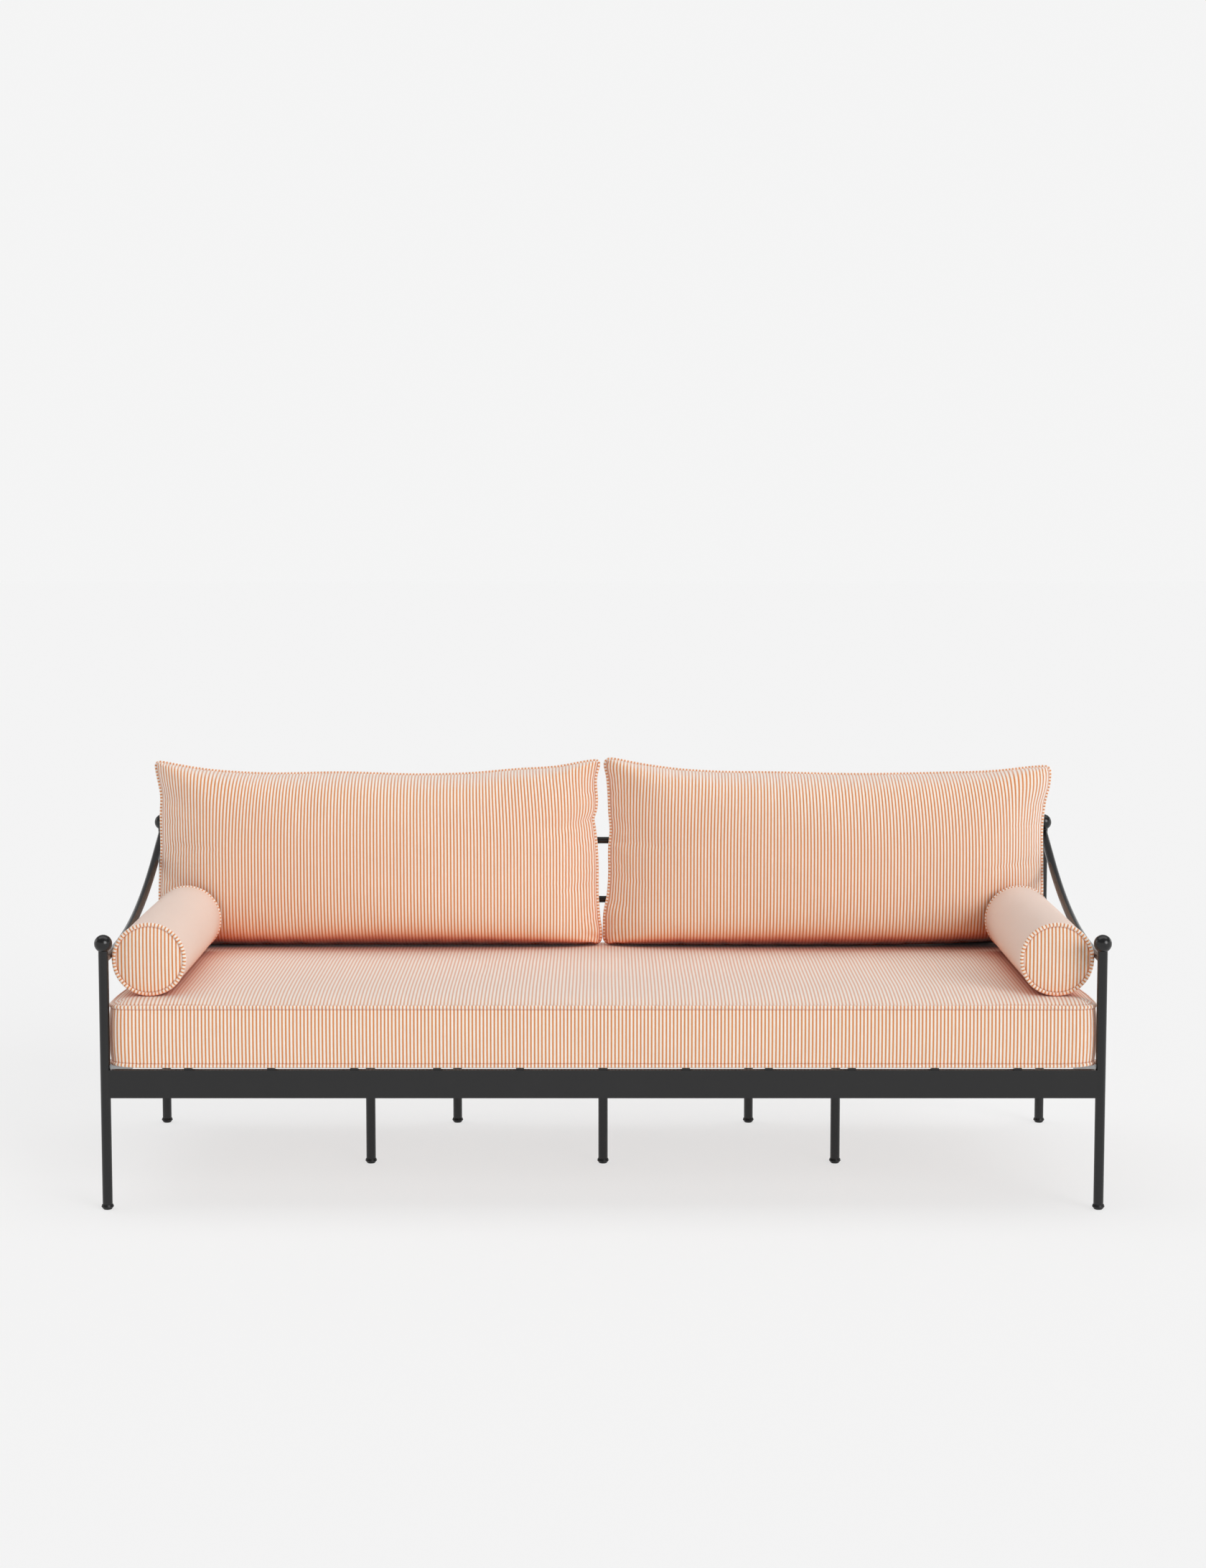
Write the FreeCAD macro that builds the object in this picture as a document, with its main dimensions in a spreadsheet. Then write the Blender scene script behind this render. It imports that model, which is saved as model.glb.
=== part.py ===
import FreeCAD, Part
import math
import os
import Sketcher

# Outdoor sofa: a welded tube and bar frame with ball finials, one seat cushion, two back cushions
# and two bolsters. X runs along the sofa, Y from front to back and Z up. The origin lies on the
# floor in the middle of the footprint.

doc = FreeCAD.newDocument("OutdoorSofa")
sheet = doc.addObject("Spreadsheet::Sheet", "Sizes")
nodes = []

# Driving sizes, in millimetres and degrees

sizes = [
    ("frame_length", 2100, "corner post axis to corner post axis, left to right"),
    ("frame_depth", 850, "corner post axis to corner post axis, front to back"),
    ("post_diameter", 21.3, "posts, uprights and legs"),
    ("post_wall", 1.6, "wall of posts, uprights and legs"),
    ("front_post_top", 552.8, "cut ends of the front posts above the floor"),
    ("back_post_top", 711.8, "cut ends of the back posts above the floor"),
    ("ball_diameter", 38, "finial ball"),
    ("plug_clearance", 0.1, "room between a foot's plug and the bore of its tube"),
    ("foot_height", 10.5, "floor to the cut end of the tube"),
    ("foot_collar", 26.5, "widest ring of a foot, across"),
    ("foot_tread", 17, "flat that stands on the floor, across"),
    ("foot_shoulder", 23.5, "ring that meets the tube's end, across"),
    ("collar_height", 6, "floor to the foot's widest ring"),
    ("foot_plug", 20, "length of the foot's ribbed plug inside its tube"),
    ("plug_rib", 3, "thickness of the plug's crossed ribs"),
    ("rail_top", 300, "top of the seat rails above the floor"),
    ("rail_height", 60, "height of the seat rails"),
    ("rail_thickness", 15, "thickness of the seat rails"),
    ("rail_wall", 1.5, "wall of the seat rails and the centre beam"),
    ("beam_height", 30, "height of the centre beam"),
    ("beam_width", 20, "width of the centre beam"),
    ("slat_count", 11, "seat slats, evenly spaced between the side rails"),
    ("slat_width", 16.5, "width of a slat"),
    ("slat_thickness", 4, "thickness of a slat"),
    ("slat_setback", 2, "slat end to the outer face of its rail"),
    ("back_rail_diameter", 16, "two round rails behind the cushions"),
    ("upper_rail_drop", 27.8, "back posts' cut ends down to the axis of the upper back rail"),
    ("back_rail_spacing", 142, "upper back rail to lower back rail, between axes"),
    ("arm_diameter", 19, "swept arm"),
    ("arm_front_drop", 17.8, "front post's cut end down to the axis of the arm"),
    ("arm_back_drop", 7.3, "back post's cut end down to the axis of the arm"),
    ("arm_front_run", 122, "level stretch of the arm behind the front post's axis"),
    ("arm_back_run", 130, "straight stretch of the arm in front of the back post's axis"),
    ("soft_clearance", 0.3, "cushion to what it rests on or against"),
    ("seat_side_gap", 2.9, "seat cushion to the corner posts"),
    ("seat_back_gap", 4.4, "seat cushion to the back uprights"),
    ("seat_overhang", 2.5, "seat cushion past the front rail's face"),
    ("seat_band", 133.5, "height of the seat cushion's side band"),
    ("seat_crown", 14.5, "rise of the seat's top panel above the band"),
    ("seat_roll", 130, "rounded margin of the top panel"),
    ("seat_corner", 46, "corner radius of the seat cushion in plan"),
    ("seat_draw", 3, "how far the seat cushion's sides pull in between corners"),
    ("seat_swell", 2, "how far the side band swells at half its height"),
    ("back_centre_gap", 2, "back cushion's corner to the sofa's middle plane"),
    ("back_arm_gap", 1, "back cushion's widest corner to the arm beside it"),
    ("back_height", 433, "back cushion, bottom edge to top corners"),
    ("back_front_thickness", 120, "back cushion in front of its seam"),
    ("back_rear_thickness", 119, "back cushion behind its seam"),
    ("back_top_draw", 27, "how far the top edge dips between its corners"),
    ("back_side_draw", 11, "how far the side edges pull in between their corners"),
    ("back_corner", 14, "corner radius of the back cushion at its seam"),
    ("back_crown_width", 90, "flat crown of the back cushion, across"),
    ("back_crown_height", 65, "flat crown of the back cushion, up and down"),
    ("back_crown_corner", 28, "corner radius of the flat crown"),
    ("bolster_radius", 78, "bolster at its thickest"),
    ("bolster_length", 575, "bolster, seam to seam"),
    ("bolster_taper", 1.5, "how much thinner a bolster is at its seams"),
    ("bolster_dome", 7, "rise of a bolster's end panels"),
    ("bolster_arm_gap", 0.8, "bolster to the arm tube"),
    ("bolster_setback", 47, "bolster's front seam behind the front post's axis"),
    ("bolster_sink", 3, "how deep a bolster settles into the seat cushion"),
]

for row, (name, number, meaning) in enumerate(sizes, start=1):
    sheet.set("A%d" % row, name)
    sheet.set("B%d" % row, str(number))
    sheet.set("C%d" % row, meaning)
    sheet.setAlias("B%d" % row, name)
doc.recompute()

# Places that follow from the driving sizes

post_x = "(Sizes.frame_length / 2)"
post_y = "(Sizes.frame_depth / 2)"
post_radius = "(Sizes.post_diameter / 2)"
plug_radius = "(%s - Sizes.post_wall - Sizes.plug_clearance)" % post_radius
upright_x = "(Sizes.frame_length / 6)"
leg_x = "(Sizes.frame_length / 4)"
upper_rail_z = "(Sizes.back_post_top - Sizes.upper_rail_drop)"
lower_rail_z = "(%s - Sizes.back_rail_spacing)" % upper_rail_z
back_rail_radius = "(Sizes.back_rail_diameter / 2)"
rail_axis_z = "(Sizes.rail_top - Sizes.rail_height / 2)"
beam_axis_z = "(Sizes.rail_top - Sizes.beam_height / 2)"
beam_bottom = "(Sizes.rail_top - Sizes.beam_height)"
arm_radius = "(Sizes.arm_diameter / 2)"
arm_front_z = "(Sizes.front_post_top - Sizes.arm_front_drop)"
arm_back_z = "(Sizes.back_post_top - Sizes.arm_back_drop)"
ball_radius = "(Sizes.ball_diameter / 2)"
ball_rise = "sqrt(pow(%s; 2) - pow(%s; 2))" % (ball_radius, post_radius)
seat_bottom = "(Sizes.rail_top + Sizes.slat_thickness + Sizes.soft_clearance)"
seat_top = "(%s + Sizes.seat_band + Sizes.seat_crown)" % seat_bottom
seat_front = "(%s + Sizes.rail_thickness / 2 + Sizes.seat_overhang)" % post_y
seat_rear = "(%s - %s - Sizes.seat_back_gap)" % (post_y, post_radius)
back_width = "(%s - %s - Sizes.back_arm_gap - Sizes.back_centre_gap)" % (post_x, arm_radius)
back_seam_y = "(%s - %s - Sizes.soft_clearance - Sizes.back_rear_thickness)" % (post_y, post_radius)
bolster_x = "(%s - %s - Sizes.bolster_arm_gap - Sizes.bolster_radius)" % (post_x, arm_radius)
bolster_y = "(Sizes.bolster_setback + Sizes.bolster_length / 2 - %s)" % post_y
bolster_z = "(%s + Sizes.bolster_radius - Sizes.bolster_sink)" % seat_top


def value(expression):
    return float(sheet.evalExpression(expression))


def minus(expression):
    return "-%s" % expression


# Sketches and features

def new_body(label):
    body = doc.addObject("PartDesign::Body", label)
    body.Label = label
    return body


def origin_plane(body, role):
    for feature in body.Origin.OriginFeatures:
        if feature.Role == role:
            return feature


def new_sketch(body, role, lift=None):
    sketch = body.newObject("Sketcher::SketchObject", body.Name + "_sketch")
    sketch.AttachmentSupport = [(origin_plane(body, role), "")]
    sketch.MapMode = "FlatFace"
    if lift:
        sketch.setExpression("AttachmentOffset.Base.z", lift)
    return sketch


def constrain(sketch, kind, *places, size):
    number = sketch.addConstraint(Sketcher.Constraint(kind, *places, value(size)))
    sketch.setExpression("Constraints[%d]" % number, size)


def pin(sketch, curve, point, across, up):
    # A place of "0" puts the point on the sketch's own axis
    if across == "0":
        sketch.addConstraint(Sketcher.Constraint("PointOnObject", curve, point, -2))
    else:
        constrain(sketch, "DistanceX", -1, 1, curve, point, size=across)
    if up == "0":
        sketch.addConstraint(Sketcher.Constraint("PointOnObject", curve, point, -1))
    else:
        constrain(sketch, "DistanceY", -1, 1, curve, point, size=up)


def add_circle(sketch, across, up, radius):
    centre = FreeCAD.Vector(value(across), value(up), 0)
    curve = sketch.addGeometry(Part.Circle(centre, FreeCAD.Vector(0, 0, 1), value(radius)), False)
    pin(sketch, curve, 3, across, up)
    constrain(sketch, "Radius", curve, size=radius)


def bulge_point(start, end, radius):
    # Middle of the shorter arc that bulges to the right of the way from start to end
    chord = end - start
    sagitta = radius - math.sqrt(radius ** 2 - (chord.Length / 2) ** 2)
    outward = FreeCAD.Vector(chord.y, -chord.x, 0).normalize()
    return (start + end) / 2 + outward * sagitta


def add_outline(sketch, corners, arcs):
    # Corners run anticlockwise; arcs gives the radius of each curve that leaves a numbered corner
    places = [FreeCAD.Vector(value(across), value(up), 0) for across, up in corners]
    curves = []
    for number, start in enumerate(places):
        end = places[(number + 1) % len(places)]
        if number in arcs:
            shape = Part.Arc(start, bulge_point(start, end, value(arcs[number])), end)
        else:
            shape = Part.LineSegment(start, end)
        curve = sketch.addGeometry(shape, False)
        forward = (sketch.getPoint(curve, 1) - start).Length < (sketch.getPoint(curve, 2) - start).Length
        curves.append((curve, 1, 2) if forward else (curve, 2, 1))
    for number, (across, up) in enumerate(corners):
        curve, first, last = curves[number]
        before = curves[number - 1]
        sketch.addConstraint(Sketcher.Constraint("Coincident", before[0], before[2], curve, first))
        pin(sketch, curve, first, across, up)
    for number, radius in arcs.items():
        constrain(sketch, "Radius", curves[number][0], size=radius)


def add_rectangle(sketch, width, height, centre_up="0"):
    half_width = "%s / 2" % width
    low = "(%s - %s / 2)" % (centre_up, height)
    high = "(%s + %s / 2)" % (centre_up, height)
    add_outline(sketch, [(minus(half_width), low), (half_width, low), (half_width, high),
                         (minus(half_width), high)], {})


def pad(body, sketch, length, both_ways=False):
    feature = body.newObject("PartDesign::Pad", body.Name + "_pad")
    feature.Profile = sketch
    feature.setExpression("Length", length)
    if both_ways:
        feature.SideType = "Symmetric"
    return feature


def pocket_through(body, sketch):
    feature = body.newObject("PartDesign::Pocket", body.Name + "_pocket")
    feature.Profile = sketch
    feature.Type = "ThroughAll"
    feature.SideType = "Symmetric"
    return feature


def revolve(body, sketch, axis):
    feature = body.newObject("PartDesign::Revolution", body.Name + "_turn")
    feature.Profile = sketch
    feature.ReferenceAxis = (sketch, [axis])
    feature.Angle = 360
    return feature


def place(body, across="0", back="0", up="0"):
    body.setExpression("Placement.Base.x", across)
    body.setExpression("Placement.Base.y", back)
    body.setExpression("Placement.Base.z", up)


def finish_node(thing):
    nodes.append(thing)
    return thing


# Posts, uprights and legs: round tubes that stand on their feet

def upright_tube(label, across, back, top):
    body = new_body(label)
    section = new_sketch(body, "XY_Plane")
    add_circle(section, "0", "0", post_radius)
    add_circle(section, "0", "0", "%s - Sizes.post_wall" % post_radius)
    pad(body, section, "%s - Sizes.foot_height" % top)
    place(body, across, back, "Sizes.foot_height")
    return finish_node(body)


def saddle_for_upper_rail(body):
    # The upright's end straddles the upper back rail
    notch = new_sketch(body, "YZ_Plane")
    add_circle(notch, "0", "(%s - Sizes.foot_height)" % upper_rail_z, back_rail_radius)
    pocket_through(body, notch)


# Rails: tubes between uprights, with ends coped to the round tubes that they are welded to

def cope_ends(body, half_span, along):
    saddles = new_sketch(body, "XY_Plane")
    for end in (half_span, minus(half_span)):
        across, back = (end, "0") if along == "X" else ("0", end)
        add_circle(saddles, across, back, post_radius)
    pocket_through(body, saddles)


def box_rail(label, span, along, across="0", back="0"):
    body = new_body(label)
    section = new_sketch(body, "YZ_Plane" if along == "X" else "XZ_Plane")
    add_rectangle(section, "Sizes.rail_thickness", "Sizes.rail_height")
    add_rectangle(section, "(Sizes.rail_thickness - 2 * Sizes.rail_wall)",
                  "(Sizes.rail_height - 2 * Sizes.rail_wall)")
    pad(body, section, span, both_ways=True)
    cope_ends(body, "%s / 2" % span, along)
    place(body, across, back, rail_axis_z)
    return finish_node(body)


def round_rail(label, span, height, across="0"):
    body = new_body(label)
    section = new_sketch(body, "YZ_Plane")
    add_circle(section, "0", "0", back_rail_radius)
    pad(body, section, span, both_ways=True)
    cope_ends(body, "%s / 2" % span, "X")
    place(body, across, post_y, height)
    return finish_node(body)


def centre_beam():
    body = new_body("centre_beam")
    section = new_sketch(body, "YZ_Plane")
    add_rectangle(section, "Sizes.beam_width", "Sizes.beam_height")
    add_rectangle(section, "(Sizes.beam_width - 2 * Sizes.rail_wall)",
                  "(Sizes.beam_height - 2 * Sizes.rail_wall)")
    pad(body, section, "(Sizes.frame_length - Sizes.rail_thickness)", both_ways=True)
    place(body, up=beam_axis_z)
    return finish_node(body)


# Slats: flat bars across the rails, notched where a back upright stands in their way

def seat_slat(number, count):
    across = "(Sizes.frame_length * %d / %d - %s)" % (number, count + 1, post_x)
    body = new_body("seat_slat_%02d" % number)
    outline = new_sketch(body, "XY_Plane")
    length = "(Sizes.frame_depth + Sizes.rail_thickness - 2 * Sizes.slat_setback)"
    add_rectangle(outline, "Sizes.slat_width", length)
    pad(body, outline, "Sizes.slat_thickness")
    reach = value("(Sizes.slat_width + Sizes.post_diameter) / 2")
    for upright in (upright_x, minus(upright_x)):
        offset = "(%s - %s)" % (upright, across)
        if abs(value(offset)) < reach:
            notch = new_sketch(body, "XY_Plane")
            add_circle(notch, offset, post_y, post_radius)
            pocket_through(body, notch)
    place(body, across, up="Sizes.rail_top")
    return finish_node(body)


# Arms: one bent bar each, level at the front post, swept up in a long arc and straight into the back
# post

def arm(label, across):
    body = new_body(label)
    route = new_sketch(body, "YZ_Plane")
    back_run = value("Sizes.arm_back_run")
    start = FreeCAD.Vector(-value(post_y), value(arm_front_z), 0)
    bend_start = start + FreeCAD.Vector(value("Sizes.arm_front_run"), 0, 0)
    end = FreeCAD.Vector(value(post_y), value(arm_back_z), 0)
    # The two straight runs, drawn on, meet at a knee as far from the arc's start as from its end
    reach = end - bend_start
    knee = (reach.Length ** 2 - back_run ** 2) / (2 * (reach.x + back_run))
    slope = math.atan2(reach.y, reach.x - knee)
    bend = knee / math.tan(slope / 2)
    bend_centre = bend_start + FreeCAD.Vector(0, bend, 0)
    bend_end = bend_centre + FreeCAD.Vector(math.sin(slope), -math.cos(slope), 0) * bend
    level_run = route.addGeometry(Part.LineSegment(start, bend_start), False)
    sweep = Part.ArcOfCircle(Part.Circle(bend_centre, FreeCAD.Vector(0, 0, 1), bend),
                             -math.pi / 2, slope - math.pi / 2)
    sweep = route.addGeometry(sweep, False)
    sloping_run = route.addGeometry(Part.LineSegment(bend_end, end), False)
    pin(route, level_run, 1, minus(post_y), arm_front_z)
    route.addConstraint(Sketcher.Constraint("Horizontal", level_run))
    constrain(route, "DistanceX", level_run, 1, level_run, 2, size="Sizes.arm_front_run")
    route.addConstraint(Sketcher.Constraint("Tangent", level_run, 2, sweep, 1))
    route.addConstraint(Sketcher.Constraint("Tangent", sweep, 2, sloping_run, 1))
    constrain(route, "Distance", sloping_run, size="Sizes.arm_back_run")
    pin(route, sloping_run, 2, post_y, arm_back_z)
    section = new_sketch(body, "XZ_Plane", lift=post_y)
    add_circle(section, "0", arm_front_z, arm_radius)
    pipe = body.newObject("PartDesign::AdditivePipe", body.Name + "_pipe")
    pipe.Profile = section
    pipe.Spine = (route, [])
    cope_ends(body, post_y, "Y")
    place(body, across)
    return finish_node(body)


# Finials and feet, grouped by row: a ball sits on each post's end, and a foot plugs into each tube

def finial(label, across, back, post_top):
    body = new_body(label)
    profile = new_sketch(body, "XZ_Plane")
    add_outline(profile, [("0", "0"), (post_radius, "0"), ("0", "(%s + %s)" % (ball_rise, ball_radius))],
                {1: ball_radius})
    revolve(body, profile, "V_Axis")
    place(body, across, back, post_top)
    return body


def foot(label, across, back):
    body = new_body(label)
    profile = new_sketch(body, "XZ_Plane")
    add_outline(profile, [("0", "0"), ("(Sizes.foot_tread / 2)", "0"),
                          ("(Sizes.foot_collar / 2)", "Sizes.collar_height"),
                          ("(Sizes.foot_shoulder / 2)", "Sizes.foot_height"),
                          ("0", "Sizes.foot_height")], {})
    revolve(body, profile, "V_Axis")
    ribs = new_sketch(body, "XY_Plane", lift="Sizes.foot_height")
    side = "(Sizes.plug_rib / 2)"
    tip = "sqrt(pow(%s; 2) - pow(%s; 2))" % (plug_radius, side)
    add_outline(ribs, [(tip, minus(side)), (tip, side), (side, side), (side, tip), (minus(side), tip),
                       (minus(side), side), (minus(tip), side), (minus(tip), minus(side)),
                       (minus(side), minus(side)), (minus(side), minus(tip)), (side, minus(tip)),
                       (side, minus(side))], {})
    pad(body, ribs, "Sizes.foot_plug")
    place(body, across, back)
    return body


def group(label, members):
    compound = doc.addObject("Part::Compound", label)
    compound.Label = label
    compound.Links = members
    return finish_node(compound)


# Soft forms: rings of points, skinned with flat facets from ring to ring and closed at both ends

def soft_outline(half_width, half_height, corner, draws):
    # Four rounded corners, anticlockwise from the lower right, each with the drawn-in side after it
    side_facets = 6
    corner_facets = 3
    outline = []
    for quarter, draw in enumerate(draws):
        start = math.pi / 2 * (quarter - 1)
        for step in range(corner_facets + 1):
            angle = start + math.pi / 2 * step / corner_facets
            side_x = 1 if quarter in (0, 1) else -1
            side_y = 1 if quarter in (1, 2) else -1
            outline.append(FreeCAD.Vector(side_x * (half_width - corner) + corner * math.cos(angle),
                                          side_y * (half_height - corner) + corner * math.sin(angle), 0))
        inward = FreeCAD.Vector(-math.cos(angle), -math.sin(angle), 0)
        along = FreeCAD.Vector(inward.y, -inward.x, 0)
        length = 2 * ((half_height if quarter % 2 == 0 else half_width) - corner)
        corner_end = outline[-1]
        for step in range(1, side_facets):
            part = step / side_facets
            outline.append(corner_end + along * length * part + inward * draw * 4 * part * (1 - part))
    return outline


def skin(rings):
    def face(*corners):
        return Part.Face(Part.makePolygon(list(corners) + [corners[0]]))
    faces = [face(*rings[0]), face(*rings[-1])]
    for lower, upper in zip(rings, rings[1:]):
        for number in range(len(lower)):
            faces.append(face(lower[number - 1], lower[number], upper[number]))
            faces.append(face(lower[number - 1], upper[number], upper[number - 1]))
    shell = Part.makeShell(faces)
    shell.sewShape()
    solid = Part.makeSolid(shell)
    if solid.Volume < 0:
        solid.reverse()
    return solid.removeSplitter()


def soft_node(label, shape, base):
    thing = doc.addObject("Part::Feature", label)
    thing.Label = label
    thing.Shape = shape
    thing.Placement = FreeCAD.Placement(base, FreeCAD.Rotation())
    return finish_node(thing)


# Seat cushion: a side band between two seams and a top panel that rolls over to a flat crown

def seat_ring(level, grow, corner):
    half_width = value("%s - %s - Sizes.seat_side_gap" % (post_x, post_radius)) + grow
    half_depth = value("(%s + %s) / 2" % (seat_front, seat_rear)) + grow
    outline = soft_outline(half_width, half_depth, corner, [value("Sizes.seat_draw")] * 4)
    return [FreeCAD.Vector(place.x, place.y, level) for place in outline]


def seat_cushion():
    corner = value("Sizes.seat_corner")
    band = value("Sizes.seat_band")
    crown_steps = 4
    rings = [seat_ring(0, 0, corner), seat_ring(band / 2, value("Sizes.seat_swell"), corner)]
    for step in range(crown_steps + 1):
        turn = math.pi / 2 * step / crown_steps
        inset = value("Sizes.seat_roll") * (1 - math.cos(turn))
        rise = value("Sizes.seat_crown") * math.sin(turn)
        rings.append(seat_ring(band + rise, -inset, corner + inset / 2))
    shape = skin(rings)
    base = FreeCAD.Vector(0, value("(%s - %s) / 2" % (seat_rear, seat_front)), value(seat_bottom))
    for side in (-1, 1):
        shape = shape.cut(bolster_bed(side, base))
    return soft_node("seat_cushion", shape, base)


def bolster_bed(side, base):
    clearance = value("Sizes.soft_clearance")
    reach = value("Sizes.bolster_length / 2 + Sizes.bolster_dome") + clearance
    middle = FreeCAD.Vector(side * value(bolster_x), value(bolster_y), value(bolster_z)) - base
    start = middle - FreeCAD.Vector(0, reach, 0)
    return Part.makeCylinder(value("Sizes.bolster_radius") + clearance, 2 * reach, start,
                             FreeCAD.Vector(0, 1, 0))


# Back cushions: pillows that swell from pointed corners at the seam to a crown on both faces

def back_ring(turn, offset):
    # Share runs from 0 at the seam to 1 at the crown, where the drawn-in edges have straightened out
    share = 1 - math.cos(turn)
    half_width = value(back_width) / 2
    half_height = value("Sizes.back_height / 2")
    inset_up = (half_height - value("Sizes.back_crown_height / 2")) * share
    # The long sides swell more slowly than the top and the bottom
    inset_across = (half_width - value("Sizes.back_crown_width / 2")) * math.sin(turn) ** 2
    corner = value("Sizes.back_corner") * (1 - share) + value("Sizes.back_crown_corner") * share
    fade = (1 - share) ** 2
    side_draw = value("Sizes.back_side_draw") * fade
    outline = soft_outline(half_width - inset_across, half_height - inset_up, corner,
                           (side_draw, value("Sizes.back_top_draw") * fade, side_draw, 0))
    return [FreeCAD.Vector(place.x, offset, place.y) for place in outline]


def back_cushion(label, side):
    # Each roll is steep at the seam and flattens towards the crown
    steps = 4
    rings = []
    for step in range(-steps, steps + 1):
        turn = math.pi / 2 * step / steps
        thickness = value("Sizes.back_front_thickness" if step < 0 else "Sizes.back_rear_thickness")
        rings.append(back_ring(turn, thickness * math.sin(turn)))
    base = FreeCAD.Vector(side * value("Sizes.back_centre_gap + %s / 2" % back_width), value(back_seam_y),
                          value("%s + Sizes.soft_clearance + Sizes.back_height / 2" % seat_top))
    return soft_node(label, skin(rings), base)


# Bolsters: round rolls, a little thicker at the middle, with domed end panels

def bolster_ring(radius, along):
    facets = 28
    ring = []
    for number in range(facets):
        angle = 2 * math.pi * number / facets
        ring.append(FreeCAD.Vector(radius * math.cos(angle), along, radius * math.sin(angle)))
    return ring


def bolster(label, side):
    radius = value("Sizes.bolster_radius")
    seam_y = value("Sizes.bolster_length / 2")
    dome_steps = 2
    belly = [(radius - value("Sizes.bolster_taper") * share ** 2, seam_y * share) for share in (1, 0.5, 0)]
    seam_radius = belly[0][0]
    dome = []
    for step in range(dome_steps):
        spread = (step + 1) / (dome_steps + 1)
        dome.append((seam_radius * spread, seam_y + value("Sizes.bolster_dome") * (1 - spread ** 2)))
    half = dome + belly
    rings = [bolster_ring(size, -along) for size, along in half]
    rings += [bolster_ring(size, along) for size, along in reversed(half[:-1])]
    base = FreeCAD.Vector(side * value(bolster_x), value(bolster_y), value(bolster_z))
    return soft_node(label, skin(rings), base)


# The frame

box_rail("front_rail", "Sizes.frame_length", "X", back=minus(post_y))
for label, across in (("left", minus("(2 * %s)" % upright_x)), ("centre", "0"), ("right", "(2 * %s)" % upright_x)):
    span = "(2 * %s)" % upright_x
    box_rail("back_seat_rail_" + label, span, "X", across, post_y)
    round_rail("lower_back_rail_" + label, span, lower_rail_z, across)
round_rail("upper_back_rail", "Sizes.frame_length", upper_rail_z)
centre_beam()
slat_total = int(value("Sizes.slat_count"))
for slat_number in range(1, slat_total + 1):
    seat_slat(slat_number, slat_total)

finials = {"front_finials": [], "back_finials": []}
feet = {"front_feet": [], "middle_feet": [], "back_feet": []}
for side_label, post_place, upright_place in (("left", minus(post_x), minus(upright_x)),
                                              ("right", post_x, upright_x)):
    box_rail("side_rail_" + side_label, "Sizes.frame_depth", "Y", across=post_place)
    upright_tube("front_post_" + side_label, post_place, minus(post_y), "Sizes.front_post_top")
    upright_tube("back_post_" + side_label, post_place, post_y, "Sizes.back_post_top")
    upright = upright_tube("back_upright_" + side_label, upright_place, post_y, upper_rail_z)
    saddle_for_upper_rail(upright)
    arm("arm_" + side_label, post_place)
    finials["front_finials"].append(finial("front_finial_" + side_label, post_place, minus(post_y),
                                           "Sizes.front_post_top"))
    finials["back_finials"].append(finial("back_finial_" + side_label, post_place, post_y,
                                          "Sizes.back_post_top"))
    feet["front_feet"].append(foot("front_foot_" + side_label, post_place, minus(post_y)))
    feet["back_feet"].append(foot("back_foot_" + side_label, post_place, post_y))
    feet["back_feet"].append(foot("upright_foot_" + side_label, upright_place, post_y))
for label, across in (("left", minus(leg_x)), ("centre", "0"), ("right", leg_x)):
    upright_tube("middle_leg_" + label, across, "0", beam_bottom)
    feet["middle_feet"].append(foot("middle_foot_" + label, across, "0"))
for label, members in list(finials.items()) + list(feet.items()):
    group(label, members)

# The cushions

seat_cushion()
back_cushion("back_cushion_left", -1)
back_cushion("back_cushion_right", 1)
bolster("bolster_left", -1)
bolster("bolster_right", 1)

# Checks and export

doc.recompute()
for thing in doc.Objects:
    if "Invalid" in thing.State or "Error" in thing.State:
        raise RuntimeError("%s: %s" % (thing.Label, thing.State))
for node in nodes:
    if node.Shape.isNull() or not node.Shape.isValid() or not node.Shape.Solids:
        raise RuntimeError("%s has no valid solid" % node.Label)
os.makedirs("parts", exist_ok=True)
for node in nodes:
    node.Shape.exportStep("parts/%s.step" % node.Label)
print(len(nodes), "sub-parts written")
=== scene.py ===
import math
import bpy
import numpy as np
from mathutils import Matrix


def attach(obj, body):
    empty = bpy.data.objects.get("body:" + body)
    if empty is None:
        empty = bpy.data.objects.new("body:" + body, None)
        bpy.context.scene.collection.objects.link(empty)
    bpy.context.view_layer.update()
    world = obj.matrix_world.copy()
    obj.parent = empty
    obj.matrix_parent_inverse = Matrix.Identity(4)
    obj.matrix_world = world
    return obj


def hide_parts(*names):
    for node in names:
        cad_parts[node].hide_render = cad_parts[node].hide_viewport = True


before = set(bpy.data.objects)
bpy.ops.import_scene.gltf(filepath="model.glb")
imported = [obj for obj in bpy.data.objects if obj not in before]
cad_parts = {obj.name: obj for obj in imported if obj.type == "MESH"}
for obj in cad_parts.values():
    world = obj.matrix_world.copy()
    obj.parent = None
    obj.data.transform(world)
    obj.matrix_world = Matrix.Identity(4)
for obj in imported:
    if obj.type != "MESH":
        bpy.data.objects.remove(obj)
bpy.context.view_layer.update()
scene = bpy.context.scene
print("frame loaded:", len(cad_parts), "nodes")


# Small helpers for curves of numbers

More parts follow.
